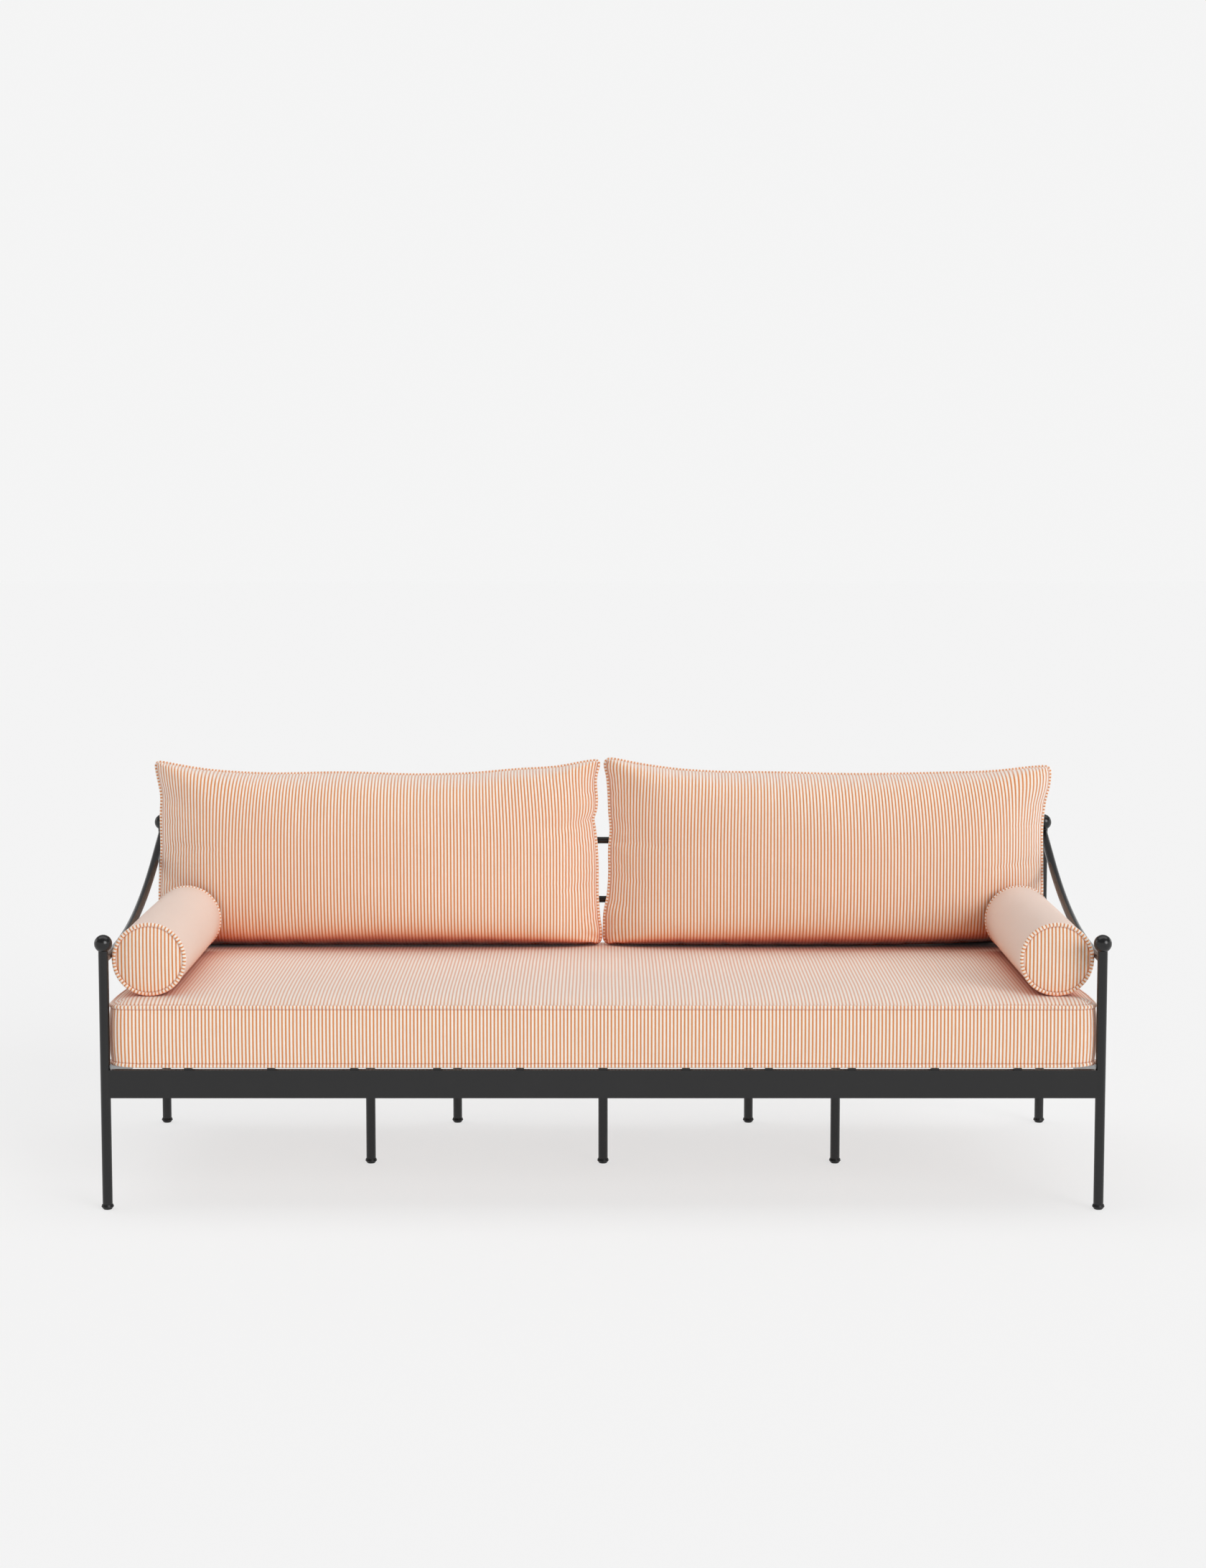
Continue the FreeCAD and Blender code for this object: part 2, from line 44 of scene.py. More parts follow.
def along(points, place):
    # Smooth interpolation through (place, value) pairs
    xs = np.array([p[0] for p in points], float)
    ys = np.array([p[1] for p in points], float)
    slopes = np.gradient(ys, xs)
    place = np.clip(np.asarray(place, float), xs[0], xs[-1])
    cell = np.clip(np.searchsorted(xs, place) - 1, 0, len(xs) - 2)
    width = xs[cell + 1] - xs[cell]
    t = (place - xs[cell]) / width
    low, high = ys[cell], ys[cell + 1]
    a, b = slopes[cell] * width, slopes[cell + 1] * width
    return ((2 * t**3 - 3 * t**2 + 1) * low + (t**3 - 2 * t**2 + t) * a
            + (-2 * t**3 + 3 * t**2) * high + (t**3 - t**2) * b)


def ease(value, start, end):
    t = np.clip((np.asarray(value, float) - start) / (end - start), 0, 1)
    return t * t * (3 - 2 * t)


def softMinimum(a, b, blend):
    width = blend * (a + b) + 1e-9
    near = np.clip(width - np.abs(a - b), 0, None) / width
    return np.minimum(a, b) - near**2 * width / 4


def runLength(points):
    points = np.asarray(points, float)
    steps = np.linalg.norm(np.diff(points, axis=0), axis=1)
    return np.concatenate(([0.0], np.cumsum(steps)))


def gridLines(width, rollSteps, coarse):
    # Places across a panel: close together at both edges, even in the middle
    edge = np.array(rollSteps)
    middle = width - 2 * edge[-1]
    count = max(2, int(round(middle / coarse)))
    inner = edge[-1] + middle * np.arange(1, count) / count
    return np.concatenate((edge, inner, width - edge[::-1]))


# Meshes

def newPiece(name, verts, faces, uvs, material, marks):
    mesh = bpy.data.meshes.new(name)
    mesh.from_pydata([tuple(v) for v in verts], [], faces)
    layer = mesh.uv_layers.new(name="cloth")
    layer.data.foreach_set("uv", np.array([uv for faceUv in uvs for uv in faceUv], float).ravel())
    for label, values in marks.items():
        mark = mesh.attributes.new(label, "FLOAT", "POINT")
        mark.data.foreach_set("value", np.asarray(values, float))
    mesh.polygons.foreach_set("use_smooth", [True] * len(mesh.polygons))
    mesh.materials.append(material)
    mesh.validate()
    mesh.update()
    piece = bpy.data.objects.new(name, mesh)
    scene.collection.objects.link(piece)
    return piece


def faceCorners(uv, faces):
    return [tuple(tuple(uv[i]) for i in face) for face in faces]


def ringFaces(rings, around):
    # Faces between closed rings of points, ring after ring
    faces = []
    for ring in range(rings - 1):
        low, high = ring * around, (ring + 1) * around
        for k in range(around):
            n = (k + 1) % around
            faces.append((low + k, low + n, high + n, high + k))
    return faces


weltCord = {
    "sides": 10,
    "spacing": 0.0045,
    "smoothing": 2,
}


def weltMesh(path, radius):
    # A round cord along a closed path, with its length along u and its girth along v
    sides = weltCord["sides"]
    loop = np.vstack((path, path[:1]))
    run = runLength(loop)
    count = int(round(run[-1] / weltCord["spacing"]))
    places = np.linspace(0, run[-1], count, endpoint=False)
    spots = np.column_stack([np.interp(places, run, loop[:, axis]) for axis in range(3)])
    for _ in range(weltCord["smoothing"]):
        spots = (np.roll(spots, 1, 0) + 2 * spots + np.roll(spots, -1, 0)) / 4
    ahead = np.roll(spots, -1, 0) - np.roll(spots, 1, 0)
    ahead /= np.linalg.norm(ahead, axis=1)[:, None]
    outward = spots - spots.mean(0)
    outward -= ahead * (outward * ahead).sum(1)[:, None]
    outward /= np.linalg.norm(outward, axis=1)[:, None]
    other = np.cross(ahead, outward)
    angles = np.arange(sides) * 2 * math.pi / sides
    verts = []
    for turn in angles:
        verts.append(spots + radius * (math.cos(turn) * outward + math.sin(turn) * other))
    verts = np.stack(verts, 1).reshape(-1, 3)
    faces, uvs = [], []
    for k in range(count):
        nextK = (k + 1) % count
        u0, u1 = run[-1] * k / count, run[-1] * (k + 1) / count
        for s in range(sides):
            nextS = (s + 1) % sides
            v0, v1 = radius * 2 * math.pi * s / sides, radius * 2 * math.pi * (s + 1) / sides
            faces.append((k * sides + s, nextK * sides + s, nextK * sides + nextS, k * sides + nextS))
            uvs.append(((u0, v0), (u1, v0), (u1, v1), (u0, v1)))
    return verts, faces, uvs, np.zeros(len(verts))


contactTint = {
    "lessBehind": 0.75,
    "fadeBehind": 0.015,
}


def joinParts(name, parts, material, touch=None):
    # Panels and cords of one cushion in one mesh
    verts, faces, uvs, seams = [], [], [], []
    start = 0
    for partVerts, partFaces, partUvs, partSeams in parts:
        verts.append(partVerts)
        faces += [tuple(i + start for i in face) for face in partFaces]
        uvs += partUvs
        seams.append(partSeams)
        start += len(partVerts)
    verts = np.vstack(verts)
    marks = {"seamAndFoldShade": np.concatenate(seams)}
    if touch is not None:
        # Painted warm shade near the seat, for light that turns red between cloth and cloth; less of it
        # behind the seam
        height, reach, seamY = touch
        behind = ease(verts[:, 1], seamY, seamY + contactTint["fadeBehind"])
        low = 1 - ease(verts[:, 2], height, height + reach)
        marks["contact"] = low * (1 - contactTint["lessBehind"] * behind)
    return newPiece(name, verts, faces, uvs, material, marks)


# Shared shader groups

def newGroup(name, inputs, outputs):
    tree = bpy.data.node_groups.new(name, "ShaderNodeTree")
    for label, kind, default in inputs:
        socket = tree.interface.new_socket(label, in_out="INPUT", socket_type=kind)
        if default is not None:
            socket.default_value = default
    for label, kind in outputs:
        tree.interface.new_socket(label, in_out="OUTPUT", socket_type=kind)
    return tree, tree.nodes.new("NodeGroupInput"), tree.nodes.new("NodeGroupOutput")


class Wires:
    # Short words for adding nodes and links to one tree
    def __init__(self, tree):
        self.tree = tree

    def node(self, kind, **settings):
        made = self.tree.nodes.new(kind)
        for key, value in settings.items():
            setattr(made, key, value)
        return made

    def link(self, source, target):
        self.tree.links.new(source, target)

    def put(self, target, value):
        if isinstance(value, bpy.types.NodeSocket):
            self.link(value, target)
        else:
            target.default_value = value

    def math(self, operation, first, second=0.0, clamp=False):
        made = self.node("ShaderNodeMath", operation=operation, use_clamp=clamp)
        self.put(made.inputs[0], first)
        self.put(made.inputs[1], second)
        return made.outputs[0]

    def ramp(self, value, low, high, outLow=0.0, outHigh=1.0):
        made = self.node("ShaderNodeMapRange", interpolation_type="SMOOTHSTEP")
        self.put(made.inputs["Value"], value)
        self.put(made.inputs["From Min"], low)
        self.put(made.inputs["From Max"], high)
        self.put(made.inputs["To Min"], outLow)
        self.put(made.inputs["To Max"], outHigh)
        return made.outputs["Result"]

    def mix(self, factor, first, second, blend="MIX"):
        made = self.node("ShaderNodeMix", data_type="RGBA", blend_type=blend)
        self.put(made.inputs[0], factor)
        self.put(made.inputs[6], first)
        self.put(made.inputs[7], second)
        return made.outputs[2]

    def noise(self, vector, scale, detail=2.0, roughness=0.5):
        made = self.node("ShaderNodeTexNoise")
        self.put(made.inputs["Vector"], vector)
        self.put(made.inputs["Scale"], scale)
        self.put(made.inputs["Detail"], detail)
        self.put(made.inputs["Roughness"], roughness)
        return made.outputs[0]

    def stretched(self, first, second, scales):
        # Two coordinates, each at its own scale
        made = self.node("ShaderNodeCombineXYZ")
        self.link(self.math("MULTIPLY", first, scales[0]), made.inputs["X"])
        self.link(self.math("MULTIPLY", second, scales[1]), made.inputs["Y"])
        return made.outputs[0]

    def swing(self, value, middle, amount):
        # A value's distance from its middle, scaled down to a small change
        return self.math("MULTIPLY", self.math("SUBTRACT", value, middle), amount)

    def within(self, value, middle, reach):
        # 1 near the middle, and 0 beyond the reach
        distance = self.math("ABSOLUTE", self.math("SUBTRACT", value, middle))
        return self.ramp(distance, *reach, 1.0, 0.0)

    def bump(self, height, strength, distance, normal):
        made = self.node("ShaderNodeBump")
        made.inputs["Strength"].default_value = strength
        made.inputs["Distance"].default_value = distance
        self.link(height, made.inputs["Height"])
        self.link(made.outputs[0], normal)


def newMaterial(name):
    material = bpy.data.materials.new(name)
    material.use_nodes = True
    return material, Wires(material.node_tree), material.node_tree.nodes["Principled BSDF"]


fabric = {
    "ground": (0.95, 0.86, 0.785, 1),
    "stripe": (0.73, 0.275, 0.075, 1),
    "pitch": 0.0077,
    "share": 0.44,
    "weltShare": 0.42,
    "softness": 0.13,
    "thread": 0.0006,
    "slubScale": (130.0, 620.0),
    "edgeWander": 0.10,
    "streakScale": (900.0, 14.0),
    "cloudScale": 9.0,
    "baseShade": 0.93,
    "streakShade": 0.09,
    "cloudShade": 0.05,
    "threadShade": 0.05,
    "roughness": 0.86,
    "roughnessChange": 0.1,
    "threadHeight": 0.6,
    "stripeHeight": -0.5,
    "relief": 0.35,
    "reliefDepth": 0.0004,
    "seamShade": (0.68, 0.45, 0.38, 1),
    "foldShade": (0.03, 0.008, 0.006, 1),
    "contactShade": (1.0, 0.8, 0.75, 1),
    "paintedSheen": 0.32,
    "paintedSheenRange": (0.1, 0.85),
    "paintedSheenColor": (0.98, 0.93, 0.91, 1),
    "gapReach": 0.16,
    "gapSamples": 8,
    "gapShades": ((0.0, (0.015, 0.002, 0.002, 1)), (0.06, (0.38, 0.04, 0.025, 1)),
                  (0.15, (0.85, 0.28, 0.17, 1)), (0.27, (1, 0.68, 0.53, 1)),
                  (0.48, (1, 0.91, 0.86, 1)), (0.70, (1, 1, 1, 1))),
    "specular": 0.15,
    "sheen": 0.2,
    "sheenRoughness": 0.45,
    "sheenTint": (1, 0.92, 0.89, 1),
}


def buildStripeGroup():
    # Woven stripes and threads laid out in metres of cloth
    tree, source, sink = newGroup("wovenStripes", [
        ("Cloth", "NodeSocketVector", None),
        ("Pitch", "NodeSocketFloat", fabric["pitch"]),
        ("Share", "NodeSocketFloat", fabric["share"]),
        ("Softness", "NodeSocketFloat", fabric["softness"]),
        ("Ground", "NodeSocketColor", fabric["ground"]),
        ("Stripe", "NodeSocketColor", fabric["stripe"]),
        ("Thread", "NodeSocketFloat", fabric["thread"]),
    ], [("Color", "NodeSocketColor"), ("Height", "NodeSocketFloat"), ("Roughness", "NodeSocketFloat")])
    w = Wires(tree)
    split = w.node("ShaderNodeSeparateXYZ")
    w.link(source.outputs["Cloth"], split.inputs[0])
    u, v = split.outputs["X"], split.outputs["Y"]
    # The stripe's edges wander by a thread
    slub = w.noise(w.stretched(u, v, fabric["slubScale"]), 1.0, roughness=0.6)
    place = w.math("DIVIDE", u, source.outputs["Pitch"])
    place = w.math("ADD", place, w.swing(slub, 0.5, fabric["edgeWander"]))
    phase = w.math("FRACT", place)
    fromMiddle = w.math("ABSOLUTE", w.math("SUBTRACT", phase, 0.5))
    half = w.math("MULTIPLY", source.outputs["Share"], 0.5)
    low = w.math("SUBTRACT", half, source.outputs["Softness"])
    high = w.math("ADD", half, source.outputs["Softness"])
    stripe = w.ramp(fromMiddle, low, high, 1.0, 0.0)
    # Threads over and under
    across = w.math("DIVIDE", u, source.outputs["Thread"])
    up = w.math("DIVIDE", v, source.outputs["Thread"])
    warp = w.math("ABSOLUTE", w.math("SINE", w.math("MULTIPLY", across, math.pi)))
    weft = w.math("ABSOLUTE", w.math("SINE", w.math("MULTIPLY", up, math.pi)))
    checker = w.math("PINGPONG", w.math("ADD", w.math("FLOOR", across), w.math("FLOOR", up)), 1.0)
    weave = w.math("ADD", w.math("MULTIPLY", warp, checker),
                   w.math("MULTIPLY", weft, w.math("SUBTRACT", 1.0, checker)))
    # Long slow change from thread to thread, and broad clouds over the cloth
    streak = w.noise(w.stretched(u, v, fabric["streakScale"]), 1.0)
    cloud = w.noise(source.outputs["Cloth"], fabric["cloudScale"])
    color = w.mix(stripe, source.outputs["Ground"], source.outputs["Stripe"])
    shade = w.math("ADD", fabric["baseShade"], w.math("MULTIPLY", streak, fabric["streakShade"]))
    shade = w.math("ADD", shade, w.swing(cloud, 0.5, fabric["cloudShade"]))
    shade = w.math("ADD", shade, w.swing(weave, 0.6, fabric["threadShade"]))
    tint = w.node("ShaderNodeCombineColor")
    for slot in tint.inputs:
        w.link(shade, slot)
    color = w.mix(1.0, color, tint.outputs[0], "MULTIPLY")
    w.link(color, sink.inputs["Color"])
    height = w.math("ADD", w.math("MULTIPLY", weave, fabric["threadHeight"]),
                    w.math("MULTIPLY", stripe, fabric["stripeHeight"]))
    w.link(height, sink.inputs["Height"])
    change = w.math("MULTIPLY", streak, fabric["roughnessChange"])
    w.link(w.math("ADD", fabric["roughness"], change), sink.inputs["Roughness"])
    return tree


stripeGroup = buildStripeGroup()


def stripedFabric(name, share):
    material, w, shader = newMaterial(name)
    uv = w.node("ShaderNodeUVMap", uv_map="cloth")
    group = w.node("ShaderNodeGroup", node_tree=stripeGroup)
    w.link(uv.outputs[0], group.inputs["Cloth"])
    group.inputs["Share"].default_value = share
    # Painted shade in the grooves along the seams
    seam = w.node("ShaderNodeAttribute", attribute_name="seamAndFoldShade")
    groove = w.math("MINIMUM", seam.outputs["Fac"], 1.0)
    color = w.mix(groove, group.outputs["Color"], fabric["seamShade"], "MULTIPLY")
    # Painted warm shade low on the cloth that stands on the seat, for the seat's reddish bounce light
    contact = w.node("ShaderNodeAttribute", attribute_name="contact")
    color = w.mix(contact.outputs["Fac"], color, fabric["contactShade"], "MULTIPLY")
    # Painted sheen: the colour turns paler where the cloth is seen from the side, as fibre ends catch the
    # light
    edgeOn = w.node("ShaderNodeLayerWeight")
    edgeOn.inputs["Blend"].default_value = 0.5
    paintedSheen = w.math("MULTIPLY", w.ramp(edgeOn.outputs["Facing"], *fabric["paintedSheenRange"]), fabric["paintedSheen"])
    color = w.mix(paintedSheen, color, fabric["paintedSheenColor"])
    # Painted shade near other surfaces, red and then near black deep in a gap, for light that bounces from
    # cloth to cloth and little of which gets out of a narrow gap
    nearby = w.node("ShaderNodeAmbientOcclusion", samples=fabric["gapSamples"])
    nearby.inputs["Distance"].default_value = fabric["gapReach"]
    gap = w.node("ShaderNodeValToRGB")
    gap.color_ramp.elements.remove(gap.color_ramp.elements[1])
    for index, (place, shade) in enumerate(fabric["gapShades"]):
        stop = gap.color_ramp.elements[0] if index == 0 else gap.color_ramp.elements.new(place)
        stop.position = place
        stop.color = shade
    w.link(nearby.outputs["AO"], gap.inputs[0])
    color = w.mix(1.0, color, gap.outputs[0], "MULTIPLY")
    # Above 1 the seam's mark stands for cloth folded under, painted near black for shade where light never
    # reaches
    folded = w.math("SUBTRACT", seam.outputs["Fac"], 1.0, clamp=True)
    color = w.mix(folded, color, fabric["foldShade"])
    w.link(color, shader.inputs["Base Color"])
    w.link(group.outputs["Roughness"], shader.inputs["Roughness"])
    w.bump(group.outputs["Height"], fabric["relief"], fabric["reliefDepth"], shader.inputs["Normal"])
    shader.inputs["Specular IOR Level"].default_value = fabric["specular"]
    shader.inputs["Sheen Weight"].default_value = fabric["sheen"]
    shader.inputs["Sheen Roughness"].default_value = fabric["sheenRoughness"]
    shader.inputs["Sheen Tint"].default_value = fabric["sheenTint"]
    return material


panelFabric = stripedFabric("stripedPanelFabric", fabric["share"])
weltFabric = stripedFabric("stripedWeltFabric", fabric["weltShare"])


# Two finishes of the frame: powder coat on the metal, and the moulded feet
finishes = {
    "frameCoat": {
        "coat": (0.004, 0.004, 0.0045, 1),
        "grain": 900.0,
        "relief": 0.02,
        "wear": 0.06,
        "extraRoughness": 0.0,
        "specular": 0.5,
    },
    "footPlastic": {
        "coat": (0.008, 0.008, 0.008, 1),
        "grain": 1600.0,
        "relief": 0.1,
        "wear": 0.2,
        "extraRoughness": 0.18,
        "specular": 0.3,
    },
    "dust": (0.03, 0.029, 0.028, 1),
    "cloudScale": 11.0,
    "dustRange": (0.5, 0.75),
    "roughness": 0.16,
    "roughnessChange": 0.12,
    "reliefDepth": 0.0003,
}


def buildCoatGroup():
    # Fine grain, dust and rubbed patches of a baked paint
    tree, source, sink = newGroup("coatedMetal", [
        ("Coat", "NodeSocketColor", finishes["frameCoat"]["coat"]),
        ("Dust", "NodeSocketColor", finishes["dust"]),
        ("Grain", "NodeSocketFloat", finishes["frameCoat"]["grain"]),
        ("Wear", "NodeSocketFloat", finishes["frameCoat"]["wear"]),
    ], [("Color", "NodeSocketColor"), ("Roughness", "NodeSocketFloat"), ("Height", "NodeSocketFloat")])
    w = Wires(tree)
    place = w.node("ShaderNodeTexCoord")
    grain = w.noise(place.outputs["Object"], source.outputs["Grain"], detail=1.0, roughness=0.4)
    cloud = w.noise(place.outputs["Object"], finishes["cloudScale"], detail=3.0, roughness=0.6)
    dust = w.math("MULTIPLY", w.ramp(cloud, *finishes["dustRange"]), source.outputs["Wear"])
    color = w.mix(dust, source.outputs["Coat"], source.outputs["Dust"])
    w.link(color, sink.inputs["Color"])
    change = w.math("MULTIPLY", cloud, finishes["roughnessChange"])
    w.link(w.math("ADD", finishes["roughness"], change), sink.inputs["Roughness"])
    w.link(grain, sink.inputs["Height"])
    return tree


coatGroup = buildCoatGroup()


def coatedMetal(name):
    spec = finishes[name]
    material, w, shader = newMaterial(name)
    group = w.node("ShaderNodeGroup", node_tree=coatGroup)
    group.inputs["Coat"].default_value = spec["coat"]
    group.inputs["Grain"].default_value = spec["grain"]
    group.inputs["Wear"].default_value = spec["wear"]
    w.link(group.outputs["Color"], shader.inputs["Base Color"])
    w.link(w.math("ADD", group.outputs["Roughness"], spec["extraRoughness"]), shader.inputs["Roughness"])
    w.bump(group.outputs["Height"], spec["relief"], finishes["reliefDepth"], shader.inputs["Normal"])
    shader.inputs["Specular IOR Level"].default_value = spec["specular"]
    return material


frameCoat = coatedMetal("frameCoat")
footPlastic = coatedMetal("footPlastic")
for name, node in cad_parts.items():
    if not name.startswith(("seat_cushion", "back_cushion", "bolster")):
        finish = footPlastic if name.endswith("_feet") else frameCoat
        for slot in node.material_slots:
            slot.material = finish
print("materials made")


# Panels

def cornerRound(x, y, low, high, radius):
    # Turns the square corner of a panel into a round one, ring by ring
    cx = np.clip(x, low[0] + radius, high[0] - radius)
    cy = np.clip(y, low[1] + radius, high[1] - radius)
    dx, dy = x - cx, y - cy
    largest = np.maximum(np.abs(dx), np.abs(dy))
    length = np.hypot(dx, dy)
    scale = np.where(length > 1e-9, largest / np.maximum(length, 1e-9), 1.0)
    inCorner = (np.abs(dx) > 0) & (np.abs(dy) > 0)
    scale = np.where(inCorner, scale, 1.0)
    return cx + dx * scale, cy + dy * scale


def gridFaces(columns, rows, flip=False):
    faces = []
    for i in range(columns - 1):
        for j in range(rows - 1):
            a, b = i * rows + j, (i + 1) * rows + j
            face = (a, b, b + 1, a + 1)
            faces.append(face[::-1] if flip else face)
    return faces


def borderOrder(columns, rows):
    order = [i * rows for i in range(columns)]
    order += [(columns - 1) * rows + j for j in range(1, rows)]
    order += [i * rows + rows - 1 for i in range(columns - 2, -1, -1)]
    order += [j for j in range(rows - 2, 0, -1)]
    return order


# Cloth simulation of a sewn panel: it fills against its seam, and keeps the small folds this makes

clothSettings = {
    "frames": 20,
    "quality": 6,
    "mass": 0.25,
    "airDamping": 2.0,
    "pressure": 4.0,
    "spare": 0.025,
    "bending": 0.35,
    "stiffness": 12.0,
    "shear": 4.0,
    "smoothing": 49,
    "edgeFade": 7,
    "gain": 0.35,
    "cap": 0.002,
}


def smoothGrid(grid, passes):
    for _ in range(passes):
        padded = np.pad(grid, ((1, 1), (1, 1), (0, 0)), mode="edge")
        grid = (padded[:-2, 1:-1] + 2 * padded[1:-1, 1:-1] + padded[2:, 1:-1]) / 4
        padded = np.pad(grid, ((1, 1), (1, 1), (0, 0)), mode="edge")
        grid = (padded[1:-1, :-2] + 2 * padded[1:-1, 1:-1] + padded[1:-1, 2:]) / 4
    return grid


def settlePanel(verts, faces, columns, rows, pressed=None):
    spec = clothSettings
    mesh = bpy.data.meshes.new("panelTrial")
    mesh.from_pydata([tuple(v) for v in verts], [], faces)
    trial = bpy.data.objects.new("panelTrial", mesh)
    scene.collection.objects.link(trial)
    sewn = trial.vertex_groups.new(name="sewn")
    sewn.add(borderOrder(columns, rows), 1.0, "REPLACE")
    modifier = trial.modifiers.new("cloth", "CLOTH")
    cloth = modifier.settings
    cloth.quality = spec["quality"]
    cloth.mass = spec["mass"]
    cloth.tension_stiffness = spec["stiffness"]
    cloth.compression_stiffness = spec["stiffness"]
    cloth.shear_stiffness = spec["shear"]
    cloth.bending_stiffness = spec["bending"]
    cloth.air_damping = spec["airDamping"]
    cloth.vertex_group_mass = "sewn"
    cloth.shrink_min = -spec["spare"]
    cloth.use_pressure = True
    cloth.uniform_pressure_force = spec["pressure"]
    cloth.effector_weights.gravity = 0
    modifier.collision_settings.use_collision = False
    for number in range(1, spec["frames"] + 1):
        scene.frame_set(number)
    settled = trial.evaluated_get(bpy.context.evaluated_depsgraph_get())
    moved = np.zeros(len(verts) * 3)
    settled.data.vertices.foreach_get("co", moved)
    move = (moved.reshape(-1, 3) - verts).reshape(columns, rows, 3)
    bpy.data.objects.remove(trial)
    bpy.data.meshes.remove(mesh)
    scene.frame_set(1)
    fine = (move - smoothGrid(move, spec["smoothing"])) * spec["gain"]
    # The edge stays on its seam
    toEdge = np.minimum(np.minimum(np.arange(columns), np.arange(columns)[::-1])[:, None],
                        np.minimum(np.arange(rows), np.arange(rows)[::-1])[None, :])
    fine *= ease(toEdge, 0, spec["edgeFade"])[..., None]
    # Cloth with a cushion's weight on it lies flat
    if pressed is not None:
        fine *= 1 - pressed.reshape(columns, rows, 1)
    size = np.linalg.norm(fine, axis=2)
    fine *= (np.minimum(size, spec["cap"]) / np.maximum(size, 1e-9))[..., None]
    swelled, kept = np.linalg.norm(move, axis=2) * 1000, np.linalg.norm(fine, axis=2) * 1000
    print("  panel settled, moved up to", round(float(swelled.max()), 1), "mm, kept up to",
          round(float(kept.max()), 2), "mm, mean", round(float(kept.mean()), 2))
    return verts + fine.reshape(-1, 3)


# Seat cushion: top and bottom panels, the band between them and two welts

seat = {
    "halfWidth": 1.0380,
    "front": -0.4350,
    "rear": 0.4100,
    "bottom": 0.3043,
    "crownTop": 0.4523,
    "topSeam": 0.4335,
    "welt": 0.0043,
    "corner": 0.038,
    "roll": 0.130,
    "rollSteps": (0, 0.0008, 0.0025, 0.0042, 0.0054, 0.0066, 0.010, 0.016, 0.024, 0.034, 0.046, 0.062,
                  0.082, 0.105),
    "spacing": 0.022,
    "bottomGap": 0.0002,
    "sideDraw": 0.0015,
    "cornerFlare": 0.008,
    "flareRange": (0.16, 0.33),
    "flareReach": 0.12,
    "cornerLift": 0.003,
    "liftReach": 0.07,
    "liftDepth": 0.15,
    "bandSteps": (0, 0.02, 0.034, 0.045, 0.056, 0.08, 0.13, 0.22, 0.35, 0.5, 0.65, 0.78, 0.87, 0.92,
                  0.944, 0.955, 0.966, 0.98, 1.0),
    "swell": 0.0045,
    "swellPower": 2.5,
    "panelSeam": (0.0040, 0.0062),
    "panelSeamShade": 0.5,
    "bandSeam": (0.0044, 0.0066),
    "pressedRear": (0.03, 0.12),
    "pressedSide": (0.79, 0.87),
}


def crownRise(inset, roll, rise, power=2.0):
    share = 1 - np.clip(inset / roll, 0, 1)
    return rise * (1 - share**power) ** (1 / power)


def seatTop(x, y):
    fromFrontOrRear = np.minimum(y - seat["front"], seat["rear"] - y)
    inset = np.minimum(seat["halfWidth"] - np.abs(x), fromFrontOrRear).clip(0)
    return seat["topSeam"] + crownRise(inset, seat["roll"], seat["crownTop"] - seat["topSeam"])


def seatPanel(rise, base, upward, lift):
    low = np.array([-seat["halfWidth"] + seat["welt"], seat["front"] + seat["welt"]])
    high = np.array([seat["halfWidth"] - seat["welt"], seat["rear"] - seat["welt"]])
    steps = seat["rollSteps"] + (seat["roll"],)
    xs = gridLines(high[0] - low[0], steps, seat["spacing"]) + low[0]
    ys = gridLines(high[1] - low[1], steps, seat["spacing"]) + low[1]
    gx, gy = np.meshgrid(xs, ys, indexing="ij")
    insetX = np.minimum(gx - low[0], high[0] - gx)
    insetY = np.minimum(gy - low[1], high[1] - gy)
    inset = np.minimum(insetX, insetY)
    px, py = cornerRound(gx, gy, low, high, seat["corner"])
    # The long sides pull in a little between the corners
    across = np.abs(gx) / high[0]
    middleY = (low[1] + high[1]) / 2
    deep = np.abs(gy - middleY) / (high[1] - middleY)
    fade = (1 - np.clip(inset / seat["roll"], 0, 1)) ** 2
    py -= np.sign(gy - middleY) * seat["sideDraw"] * (1 - across**4) * fade * (insetY <= insetX)
    px -= np.sign(gx) * seat["sideDraw"] * (1 - deep**4) * fade * (insetX < insetY)
    # The front corners spread behind the posts
    atFront = ease(-gy, *seat["flareRange"])
    px += np.sign(gx) * seat["cornerFlare"] * atFront * (1 - ease(insetX, 0, seat["flareReach"]))
    pz = base + upward * crownRise(inset, seat["roll"], rise)
    nearCorner = np.clip(np.abs(gx) - (high[0] - seat["liftReach"]), 0, None) / seat["liftReach"]
    frontCorner = ease(nearCorner, 0, 1) * ease(-gy, -low[1] - seat["liftDepth"], -low[1])
    pz += lift * frontCorner
    # Flat cloth coordinates, longer than the plan where the panel rolls over
    fine = np.linspace(0, seat["roll"], 400)
    arcRun = runLength(np.column_stack((fine, crownRise(fine, seat["roll"], rise))))
    longer = (arcRun[-1] - arcRun) - (seat["roll"] - fine)

    def flat(value, inset, middle):
        gain = np.interp(np.clip(inset, 0, seat["roll"]), fine, longer)
        return value + np.sign(value - middle) * gain

    u = flat(gx, insetX, 0.0)
    v = flat(gy, insetY, middleY)
    verts = np.column_stack((px.ravel(), py.ravel(), pz.ravel()))
    uv = np.column_stack((u.ravel(), v.ravel()))
    faces = gridFaces(len(xs), len(ys), flip=upward < 0)
    seams = (1 - ease(inset, *seat["panelSeam"])).ravel() * seat["panelSeamShade"]
    return (verts, faces, faceCorners(uv, faces), seams), (len(xs), len(ys))


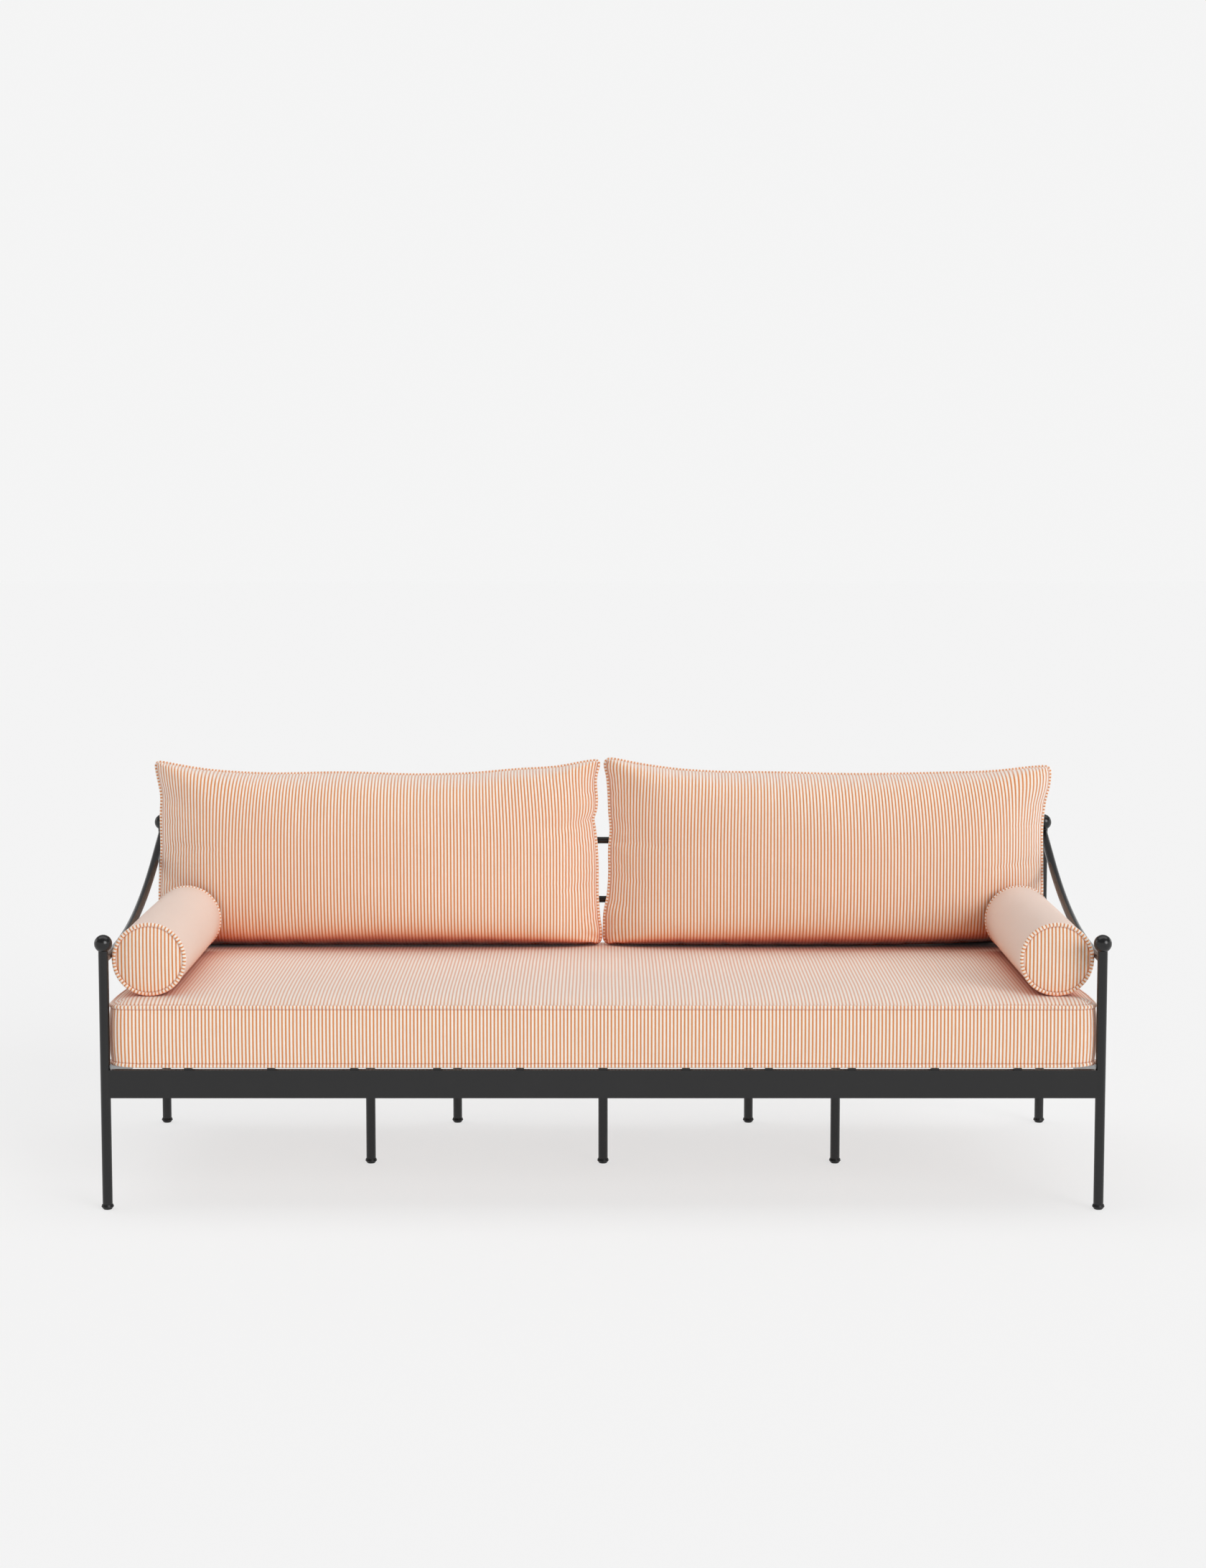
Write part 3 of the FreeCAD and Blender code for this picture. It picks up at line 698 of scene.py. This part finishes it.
def bandPanel(lowLoop, highLoop):
    # The strip between two seams: stripes upright, a slight belly between the welts
    count = len(lowLoop)
    heights = np.array(seat["bandSteps"])
    ahead = np.roll(lowLoop, -1, 0) - np.roll(lowLoop, 1, 0)
    outward = np.column_stack((ahead[:, 1], -ahead[:, 0], np.zeros(count)))
    outward /= np.linalg.norm(outward, axis=1)[:, None]
    run = runLength(np.vstack((highLoop, highLoop[:1])))
    verts = []
    for h in heights:
        bulge = seat["swell"] * (1 - abs(2 * h - 1) ** seat["swellPower"])
        verts.append(lowLoop * (1 - h) + highLoop * h + outward * bulge)
    verts = np.vstack(verts)
    tall = float(np.linalg.norm(highLoop[0] - lowLoop[0]))
    uvs = []
    for low, high in zip(heights[:-1] * tall, heights[1:] * tall):
        for k in range(count):
            uvs.append(((run[k], low), (run[k + 1], low), (run[k + 1], high), (run[k], high)))
    fromSeam = np.minimum(heights, 1 - heights) * tall
    seams = np.repeat(1 - ease(fromSeam, *seat["bandSeam"]), count)
    return verts, ringFaces(len(heights), count), uvs, seams


def makeSeat():
    top, size = seatPanel(seat["crownTop"] - seat["topSeam"], seat["topSeam"], 1, 0.0)
    bottomSeam = seat["bottom"] + seat["welt"]
    bottom, _ = seatPanel(seat["welt"] - seat["bottomGap"], bottomSeam, -1, seat["cornerLift"])
    across, deep = np.abs(top[0][:, 0]), top[0][:, 1]
    pressed = np.maximum(ease(deep, *seat["pressedRear"]), ease(across, *seat["pressedSide"]))
    top = (settlePanel(top[0], top[1], *size, pressed),) + top[1:]
    topLoop = top[0][borderOrder(*size)]
    lowLoop = bottom[0][borderOrder(*size)]
    cover = joinParts("seatCushionCover", [top, bottom, bandPanel(lowLoop, topLoop)], panelFabric)
    cords = [weltMesh(loop, seat["welt"]) for loop in (topLoop, lowLoop)]
    return cover, joinParts("seatCushionWelts", cords, weltFabric)


seatCover, seatWelts = makeSeat()
for piece in (seatCover, seatWelts):
    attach(piece, "seat_cushion")
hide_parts("seat_cushion")
print("seat cushion made")


# Back cushions: two panels sewn round one seam, swollen front and back

backCushions = {
    "seamY": 0.2950,
    "frontThickness": 0.1195,
    "rearThickness": 0.1175,
    "bottom": 0.4527,
    "welt": 0.0042,
    "corner": 0.012,
    "edgeSteps": (0, 0.0012, 0.003, 0.0052, 0.008, 0.0115, 0.016, 0.0215, 0.028, 0.036, 0.045),
    "sideSwell": ((0, 0.0), (0.004, 0.07), (0.010, 0.115), (0.020, 0.175), (0.035, 0.245), (0.047, 0.30),
                  (0.060, 0.355), (0.082, 0.435), (0.104, 0.50), (0.133, 0.56), (0.165, 0.615),
                  (0.215, 0.69), (0.27, 0.765), (0.345, 0.86), (0.42, 0.94), (0.52, 1.0)),
    "endRoll": 0.184,
    "endPower": 2.15,
    "blend": 0.30,
    "sideZone": 0.09,
    "contactHeight": 0.026,
    "clothWidth": 1.12,
    "clothHeight": 0.405,
    "spacing": 0.0095,
    "seamShade": (0.0042, 0.0060),
    "puckerFade": 0.12,
    "puckerStart": (-0.15, 0.12),
    "puckerPower": 1.2,
    "puckerRim": 0.45,
    "drapeGap": 0.0008,
    "drapeStart": (0, 0.012),
    "drapeEnd": (0.055, 0.13),
    "drapeInner": (0.70, 0.85),
    "drapeOuter": (0.90, 0.985),
    "foldStart": (0, 0.5),
    "foldEnd": (0.03, 0.05),
    # Edges are pairs of height and x, the top and bottom lines pairs of x and height, a lean pairs of x and
    # sideways shift, and a pucker is its two ends (x, height), its depth and its width
    "left": {
        "leftEdge": ((0.4527, -1.0400), (0.58, -1.0425), (0.61, -1.0408), (0.664, -1.0372),
                     (0.754, -1.0368), (0.80, -1.0352), (0.832, -1.0412), (0.8725, -1.0495)),
        "rightEdge": ((0.4527, -0.0012), (0.480, -0.0016), (0.508, -0.0056), (0.567, -0.0098),
                      (0.635, -0.0101), (0.708, -0.0150), (0.734, -0.0188), (0.744, -0.0204),
                      (0.752, -0.0150), (0.765, -0.0122), (0.8405, -0.0114), (0.860, -0.0060),
                      (0.873, -0.0014), (0.885, -0.0006)),
        "top": ((-1.0449, 0.8895), (-0.93, 0.8695), (-0.8067, 0.8604), (-0.605, 0.8620),
                (-0.4252, 0.8573), (-0.32, 0.8597), (-0.2000, 0.8697), (-0.1092, 0.8757),
                (-0.0202, 0.8908), (-0.0020, 0.8925)),
        "bottomLine": ((-1.04, 0.4527), (-0.003, 0.4527)),
        "puckers": ((-0.020, 0.744, -0.085, 0.722, -0.0045, 0.009),
                    (-0.006, 0.468, -0.060, 0.494, -0.0050, 0.007),
                    (-0.008, 0.486, -0.050, 0.520, -0.0030, 0.008),
                    (-1.030, 0.800, -0.965, 0.775, -0.0030, 0.012)),
        "lean": ((-1.05, 0.0), (-0.984, -0.004), (-0.95, -0.001), (-0.918, 0.004), (-0.86, 0.011),
                 (-0.78, 0.007), (-0.68, 0.003), (-0.56, 0.0), (-0.43, -0.002), (-0.30, -0.004),
                 (-0.20, -0.009), (-0.115, -0.010), (-0.066, -0.006), (0.0, 0.0)),
    },
    "right": {
        "leftEdge": ((0.4527, -0.0008), (0.485, -0.0008), (0.523, 0.0004), (0.567, 0.0084),
                     (0.613, 0.0118), (0.681, 0.0118), (0.722, 0.0152), (0.764, 0.0118),
                     (0.8185, 0.0094), (0.852, 0.0060), (0.869, 0.0018), (0.880, 0.0006), (0.89, 0.0006)),
        "rightEdge": ((0.4527, 1.0340), (0.586, 1.0327), (0.644, 1.0318), (0.759, 1.0317), (0.80, 1.0361),
                      (0.847, 1.0463), (0.875, 1.0480)),
        "top": ((0.0028, 0.8965), (0.0202, 0.8948), (0.079, 0.8835), (0.1697, 0.8702), (0.2588, 0.8641),
                (0.3949, 0.8622), (0.5748, 0.8582), (0.7848, 0.8612), (0.9158, 0.8656), (1.0048, 0.8752),
                (1.0486, 0.8785)),
        "bottomLine": ((-0.001, 0.4527), (0.70, 0.4527), (0.85, 0.4575), (0.96, 0.4650), (1.034, 0.4670)),
        "puckers": ((0.014, 0.705, 0.080, 0.690, -0.0040, 0.010),
                    (0.006, 0.500, 0.060, 0.522, -0.0030, 0.010),
                    (1.028, 0.790, 0.960, 0.770, -0.0030, 0.012),
                    (0.40, 0.856, 0.41, 0.815, -0.0025, 0.010)),
        "lean": ((0.0, 0.0), (0.05, 0.002), (0.09, 0.005), (0.15, 0.003), (0.23, 0.005), (0.35, 0.002),
                 (0.48, -0.004), (0.60, -0.006), (0.71, -0.011), (0.81, -0.014), (0.897, -0.015),
                 (0.947, -0.010), (0.975, -0.002), (1.05, 0.0)),
    },
}


def endSwell(spec, fromEnd):
    # Share of the full thickness at a height above the lower seam, or below the upper one
    power = spec["endPower"]
    return (1 - (1 - np.minimum(fromEnd / spec["endRoll"], 1)) ** power) ** (1 / power)


def sideEdges(spec, shape, t):
    low, high = shape["leftEdge"][0][0], shape["leftEdge"][-1][0]
    leftX = along(shape["leftEdge"], low + t * (high - low)) + spec["welt"]
    rightX = along(shape["rightEdge"], low + t * (high - low)) - spec["welt"]
    return leftX, rightX


def backFullness(spec, shape, x, t):
    # Height of the panel over the seam: quick to rise at top and bottom, slow from the sides
    leftX, rightX = sideEdges(spec, shape, t)
    topZ = along(shape["top"], x) - spec["welt"]
    lowZ = along(shape["bottomLine"], x) + spec["welt"]
    fromSide = np.minimum(x - leftX, rightX - x).clip(0)
    fromEnd = (np.minimum(t, 1 - t) * (topZ - lowZ)).clip(0)
    sideShare = along(spec["sideSwell"], fromSide)
    return softMinimum(sideShare, endSwell(spec, fromEnd), spec["blend"]), lowZ * (1 - t) + topZ * t


def puckerDepth(spec, shape, x, z):
    # Short creases that run in from the seam and die out
    depth = np.zeros_like(x)
    for x0, z0, x1, z1, deep, wide in shape["puckers"]:
        length = math.hypot(x1 - x0, z1 - z0)
        ax, az = (x1 - x0) / length, (z1 - z0) / length
        run = ((x - x0) * ax + (z - z0) * az) / length
        off = (x - x0) * -az + (z - z0) * ax
        spread = wide * (0.5 + np.clip(run, 0, 1))
        fade = np.clip(1 - run, 0, 1) ** spec["puckerPower"] * ease(run, *spec["puckerStart"])
        groove = np.exp(-(off / spread) ** 2)
        for side in (-1, 1):
            groove -= spec["puckerRim"] * np.exp(-((off + side * 2 * spread) / spread) ** 2)
        depth += deep * fade * groove
    return depth


def makeBackCushion(side):
    spec = backCushions
    shape = spec[side]
    width, height = spec["clothWidth"], spec["clothHeight"]
    # Heights from 0 to 1, close together at both ends, and the cloth's length up to each
    fineT = np.concatenate((np.linspace(0, 1, 400) ** 3 / 2, 1 - np.linspace(1, 0, 400)[1:] ** 3 / 2))
    rise = endSwell(spec, np.minimum(fineT, 1 - fineT) * height) * spec["frontThickness"]
    upRun = runLength(np.column_stack((fineT * height, rise)))
    flatU = gridLines(width, spec["edgeSteps"], spec["spacing"])
    flatV = gridLines(upRun[-1], spec["edgeSteps"], spec["spacing"])
    shares = np.interp(flatV, upRun, fineT)
    nx, nz = len(flatU), len(flatV)
    x = np.zeros((nx, nz))
    z = np.zeros((nx, nz))
    fullness = np.zeros((nx, nz))
    # The middle row lays out the cloth, and the stripes run straight up and down from it
    leftMid, rightMid = sideEdges(spec, shape, np.array(0.5))
    fineX = np.linspace(leftMid, rightMid, 1500)
    fineFull, _ = backFullness(spec, shape, fineX, np.full(1500, 0.5))
    run = runLength(np.column_stack((fineX, spec["frontThickness"] * fineFull)))
    cloth = flatU / width * run[-1]
    middleX = np.interp(cloth, run, fineX)
    zone = spec["sideZone"]
    for row, share in enumerate(shares):
        leftX, rightX = sideEdges(spec, shape, np.array(share))
        endShare = endSwell(spec, min(share, 1 - share) * height)
        line = middleX.copy()
        # Only the ends of a row leave the line, to meet the seam
        for sign, fromSide, edge, midEdge in ((1, cloth, leftX, leftMid),
                                              (-1, run[-1] - cloth, rightX, rightMid)):
            near = fromSide < zone
            d = fromSide[near]
            shift = sign * (edge - midEdge)
            reach = abs(np.interp(zone if sign > 0 else run[-1] - zone, run, fineX) - midEdge)
            curved = np.abs(middleX[near] - midEdge) - shift * ease(d, 0, zone)
            plain = d / zone * (reach - shift)
            line[near] = edge + sign * (curved * endShare + plain * (1 - endShare))
        line += along(shape["lean"], line) * max(0.0, 2 * share - 1) ** 2
        x[:, row] = line
        fullness[:, row], z[:, row] = backFullness(spec, shape, line, np.full(nx, share))
    fullness = fullness / fullness.max()
    # Round corners
    radius = spec["corner"]
    for column, outX in ((0, -1), (-1, 1)):
        for row, outZ in ((0, -1), (-1, 1)):
            cx = x[column, row] - outX * radius
            cz = z[column, row] - outZ * radius
            dx, dz = x - cx, z - cz
            inside = (dx * outX > 0) & (dz * outZ > 0)
            largest = np.maximum(np.abs(dx), np.abs(dz))
            length = np.maximum(np.hypot(dx, dz), 1e-9)
            x = np.where(inside, cx + dx * largest / length, x)
            z = np.where(inside, cz + dz * largest / length, z)
    gu, gv = np.meshgrid(flatU - width / 2, flatV - upRun[-1] / 2, indexing="ij")
    gu = gu * run[-1] / width
    uv = np.column_stack((gu.ravel(), gv.ravel()))
    fromSides = np.minimum(gu - gu.min(), gu.max() - gu)
    fromEnds = np.minimum(gv - gv.min(), gv.max() - gv)
    seams = 1 - ease(np.minimum(fromSides, fromEnds), *spec["seamShade"])
    puckers = puckerDepth(spec, shape, x, z) * ease(fullness, 0, spec["puckerFade"])
    parts = []
    for face in (-1, 1):
        depth = spec["frontThickness"] if face < 0 else spec["rearThickness"]
        y = spec["seamY"] + face * (depth * fullness + puckers)
        low, marks = z, seams
        if face > 0:
            # The rear panel's lower corners hang down to the seat, and their cloth folds under
            fromLow = gv - gv.min()
            settle = ease(fromLow, *spec["drapeStart"]) * (1 - ease(fromLow, *spec["drapeEnd"]))
            settle *= ease(np.abs(x), *spec["drapeInner"])
            settle *= 1 - ease(np.abs(x), *spec["drapeOuter"])
            low = z * (1 - settle) + (seatTop(x, y) + spec["drapeGap"]) * settle
            # Cloth that folds under gets a mark above 1, for painted near-black shade
            folded = ease(settle, *spec["foldStart"]) * (1 - ease(fromLow, *spec["foldEnd"]))
            marks = np.maximum(seams, 2 * folded)
        verts = np.column_stack((x.ravel(), y.ravel(), low.ravel()))
        faces = gridFaces(nx, nz, flip=face > 0)
        verts = settlePanel(verts, faces, nx, nz)
        parts.append((verts, faces, faceCorners(uv, faces), marks.ravel()))
    loop = parts[0][0][borderOrder(nx, nz)]
    touch = (spec["bottom"], spec["contactHeight"], spec["seamY"])
    cover = joinParts("backCushionCover_" + side, parts, panelFabric, touch)
    welt = joinParts("backCushionWelt_" + side, [weltMesh(loop, spec["welt"])], weltFabric, touch)
    return cover, welt


for side in ("left", "right"):
    cover, welt = makeBackCushion(side)
    for piece in (cover, welt):
        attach(piece, "back_cushion_" + side)
    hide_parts("back_cushion_" + side)
print("back cushions made")


# Bolsters: a rolled side panel, two round end panels and a welt round each

bolsterSizes = {
    "acrossX": 0.9617,
    "frontY": -0.3780,
    "rearY": 0.1970,
    "axisZ": 0.5273,
    "radius": 0.0780,
    "seamRadius": 0.0748,
    "dome": 0.0065,
    "domePower": 3.2,
    "welt": 0.0042,
    "around": 96,
    "rollSteps": (0, 0.001, 0.003, 0.006, 0.010, 0.016, 0.025, 0.04, 0.06, 0.09),
    "spacing": 0.03,
    "taper": 0.0012,
    "shoulder": 0.012,
    "endRings": (1.0, 0.985, 0.965, 0.94, 0.90, 0.84, 0.76, 0.66, 0.54, 0.42, 0.30, 0.18, 0.08),
    "sideSeam": (0.0040, 0.0065),
    "endSeam": (0.0038, 0.0062),
    "contactHeight": 0.012,
}


def bolsterRing(spec, radius, y):
    angles = np.arange(spec["around"]) * 2 * math.pi / spec["around"]
    return np.column_stack((radius * np.cos(angles), np.full(spec["around"], y), radius * np.sin(angles)))


def bolsterSide(spec):
    around = spec["around"]
    length = spec["rearY"] - spec["frontY"]
    places = gridLines(length, spec["rollSteps"], spec["spacing"])
    inset = np.minimum(places, length - places)
    taper = spec["taper"] * (2 * places / length - 1) ** 2
    shoulder = (1 - np.minimum(1.0, inset / spec["shoulder"])) ** 2
    radii = spec["radius"] - taper - (spec["radius"] - spec["taper"] - spec["seamRadius"]) * shoulder
    rings = [bolsterRing(spec, radius, spec["frontY"] + place) for radius, place in zip(radii, places)]
    profile = runLength(np.column_stack((places, radii)))
    girth = 2 * math.pi * spec["radius"]
    uvs = []
    for low, high in zip(profile[:-1], profile[1:]):
        for k in range(around):
            v0, v1 = girth * k / around, girth * (k + 1) / around
            uvs.append(((low, v0), (low, v1), (high, v1), (high, v0)))
    seams = np.repeat(1 - ease(inset, *spec["sideSeam"]), around)
    return np.vstack(rings), ringFaces(len(places), around), uvs, seams


def bolsterEnd(spec, end):
    # A slightly domed disc, ring by ring from its middle point
    around = spec["around"]
    baseY = spec["frontY"] if end < 0 else spec["rearY"]
    rings = [np.array([[0, baseY + end * spec["dome"], 0]])]
    seams = [np.zeros(1)]
    for share in spec["endRings"][::-1]:
        rise = spec["dome"] * (1 - share ** spec["domePower"])
        rings.append(bolsterRing(spec, spec["seamRadius"] * share, baseY + end * rise))
        fromSeam = spec["seamRadius"] * (1 - share)
        seams.append(np.full(around, 1 - ease(fromSeam, *spec["endSeam"])))
    verts = np.vstack(rings)
    faces = [(0, 1 + k, 1 + (k + 1) % around) for k in range(around)]
    for base in range(1, 1 + (len(rings) - 2) * around, around):
        for k in range(around):
            n = (k + 1) % around
            faces.append((base + k, base + around + k, base + around + n, base + n))
    if end > 0:
        faces = [face[::-1] for face in faces]
    return verts, faces, faceCorners(verts[:, [0, 2]], faces), np.concatenate(seams)


def makeBolster(side):
    spec = bolsterSizes
    middle = np.array([spec["acrossX"] * (-1 if side == "left" else 1), 0, spec["axisZ"]])
    parts = [bolsterSide(spec), bolsterEnd(spec, -1), bolsterEnd(spec, 1)]
    parts = [(part[0] + middle,) + part[1:] for part in parts]
    touch = (spec["axisZ"] - spec["radius"], spec["contactHeight"], spec["rearY"])
    cover = joinParts("bolsterCover_" + side, parts, panelFabric, touch)
    welts = []
    for seamY in (spec["frontY"], spec["rearY"]):
        welts.append(weltMesh(bolsterRing(spec, spec["seamRadius"], seamY) + middle, spec["welt"]))
    return cover, joinParts("bolsterWelts_" + side, welts, weltFabric, touch)


for side in ("left", "right"):
    cover, welt = makeBolster(side)
    for piece in (cover, welt):
        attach(piece, "bolster_" + side)
    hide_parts("bolster_" + side)
print("bolsters made")


# Floor, light and camera

studio = {
    "floorHalf": 40.0,
    "floorColor": 0.9,
    "floorGlow": 0.675,
    "glowStrength": 0.96,
    "background": 0.909,
    "upperDome": 0.34,
    "domeStart": 14.0,
    "domeEnd": 22.0,
    "keyStrength": 5.5,
    "keyDirection": (0.570, -0.727, 0.383),
    "keyRadius": 16.0,
    "keySoftness": 2.0,
    "topStrength": 1.2,
    "topCentre": 0.15,
    "topWidth": (0.75, 0.95),
    "topDepth": (0.28, 0.42),
    "stripStrength": 1.6,
    "stripWidth": (0.10, 0.18),
    "leftStrip": {"turn": 162.0, "height": 0.36, "reach": (0.14, 0.20)},
    "rightStrip": {"turn": 37.0, "height": 0.20, "reach": (0.10, 0.16)},
    "cameraPlace": (0.0, -6.490, 1.526),
    "cameraTilt": 84.16,
    "lens": 67.02,
    "sensorWidth": 36,
    "farthest": 200,
}


def makeFloor():
    half = studio["floorHalf"]
    mesh = bpy.data.meshes.new("studioFloor")
    corners = [(-half, -half, 0), (half, -half, 0), (half, half, 0), (-half, half, 0)]
    mesh.from_pydata(corners, [], [(0, 1, 2, 3)])
    floor = bpy.data.objects.new("studioFloor", mesh)
    scene.collection.objects.link(floor)
    material, w, shader = newMaterial("paleFloor")
    value = studio["floorColor"]
    shader.inputs["Base Color"].default_value = (value, value, value, 1)
    shader.inputs["Roughness"].default_value = 1.0
    shader.inputs["Specular IOR Level"].default_value = 0.0
    # Part of the floor's paleness is its own, so the shadow on it stays light
    glow = w.node("ShaderNodeEmission")
    glow.inputs["Color"].default_value = (1, 1, 1, 1)
    glow.inputs["Strength"].default_value = studio["glowStrength"]
    rays = w.node("ShaderNodeLightPath")
    seen = w.math("ADD", rays.outputs["Is Camera Ray"], rays.outputs["Is Glossy Ray"])
    seen = w.math("ADD", seen, rays.outputs["Is Transmission Ray"], clamp=True)
    blend = w.node("ShaderNodeMixShader")
    w.link(w.math("MULTIPLY", seen, studio["floorGlow"]), blend.inputs[0])
    w.link(shader.outputs[0], blend.inputs[1])
    w.link(glow.outputs[0], blend.inputs[2])
    w.link(blend.outputs[0], material.node_tree.nodes["Material Output"].inputs[0])
    mesh.materials.append(material)


def makeWorld():
    world = bpy.data.worlds.new("studio")
    scene.world = world
    world.use_nodes = True
    tree = world.node_tree
    w = Wires(tree)
    background = tree.nodes["Background"]
    place = w.node("ShaderNodeTexCoord")
    direction = w.node("ShaderNodeVectorMath", operation="NORMALIZE")
    w.link(place.outputs["Generated"], direction.inputs[0])
    split = w.node("ShaderNodeSeparateXYZ")
    w.link(direction.outputs[0], split.inputs[0])
    x, y, up = split.outputs["X"], split.outputs["Y"], split.outputs["Z"]
    domeStart = math.sin(math.radians(studio["domeStart"]))
    domeEnd = math.sin(math.radians(studio["domeEnd"]))
    base = w.ramp(up, domeStart, domeEnd, studio["background"], studio["upperDome"])
    # Round key light
    dot = w.node("ShaderNodeVectorMath", operation="DOT_PRODUCT")
    w.link(direction.outputs[0], dot.inputs[0])
    key = np.array(studio["keyDirection"])
    key = key / np.linalg.norm(key)
    dot.inputs[1].default_value = tuple(key)
    outer = math.radians(studio["keyRadius"] + studio["keySoftness"])
    inner = math.radians(studio["keyRadius"] - studio["keySoftness"])
    keyMask = w.ramp(dot.outputs["Value"], math.cos(outer), math.cos(inner))
    # Overhead panel, laid out on a plane one unit up
    height = w.math("MAXIMUM", up, 0.05)
    panel = w.math("MULTIPLY", w.within(w.math("DIVIDE", x, height), 0.0, studio["topWidth"]),
                   w.within(w.math("DIVIDE", y, height), studio["topCentre"], studio["topDepth"]))
    # Upright strips at both sides
    turn = w.math("ARCTAN2", y, x)
    strips = []
    for strip in (studio["leftStrip"], studio["rightStrip"]):
        wide = w.within(turn, math.radians(strip["turn"]), studio["stripWidth"])
        strips.append(w.math("MULTIPLY", wide, w.within(up, strip["height"], strip["reach"])))
    total = w.math("ADD", base, w.math("MULTIPLY", keyMask, studio["keyStrength"]))
    total = w.math("ADD", total, w.math("MULTIPLY", panel, studio["topStrength"]))
    total = w.math("ADD", total, w.math("MULTIPLY", w.math("ADD", *strips), studio["stripStrength"]))
    w.link(total, background.inputs["Strength"])
    background.inputs["Color"].default_value = (1, 1, 1, 1)


makeFloor()
makeWorld()
cameraData = bpy.data.cameras.new("photoCamera")
camera = bpy.data.objects.new("photoCamera", cameraData)
scene.collection.objects.link(camera)
camera.location = studio["cameraPlace"]
camera.rotation_euler = (math.radians(studio["cameraTilt"]), 0, 0)
cameraData.lens = studio["lens"]
cameraData.sensor_width = studio["sensorWidth"]
cameraData.clip_end = studio["farthest"]
scene.camera = camera
scene.view_settings.view_transform = "Standard"
print("studio made")
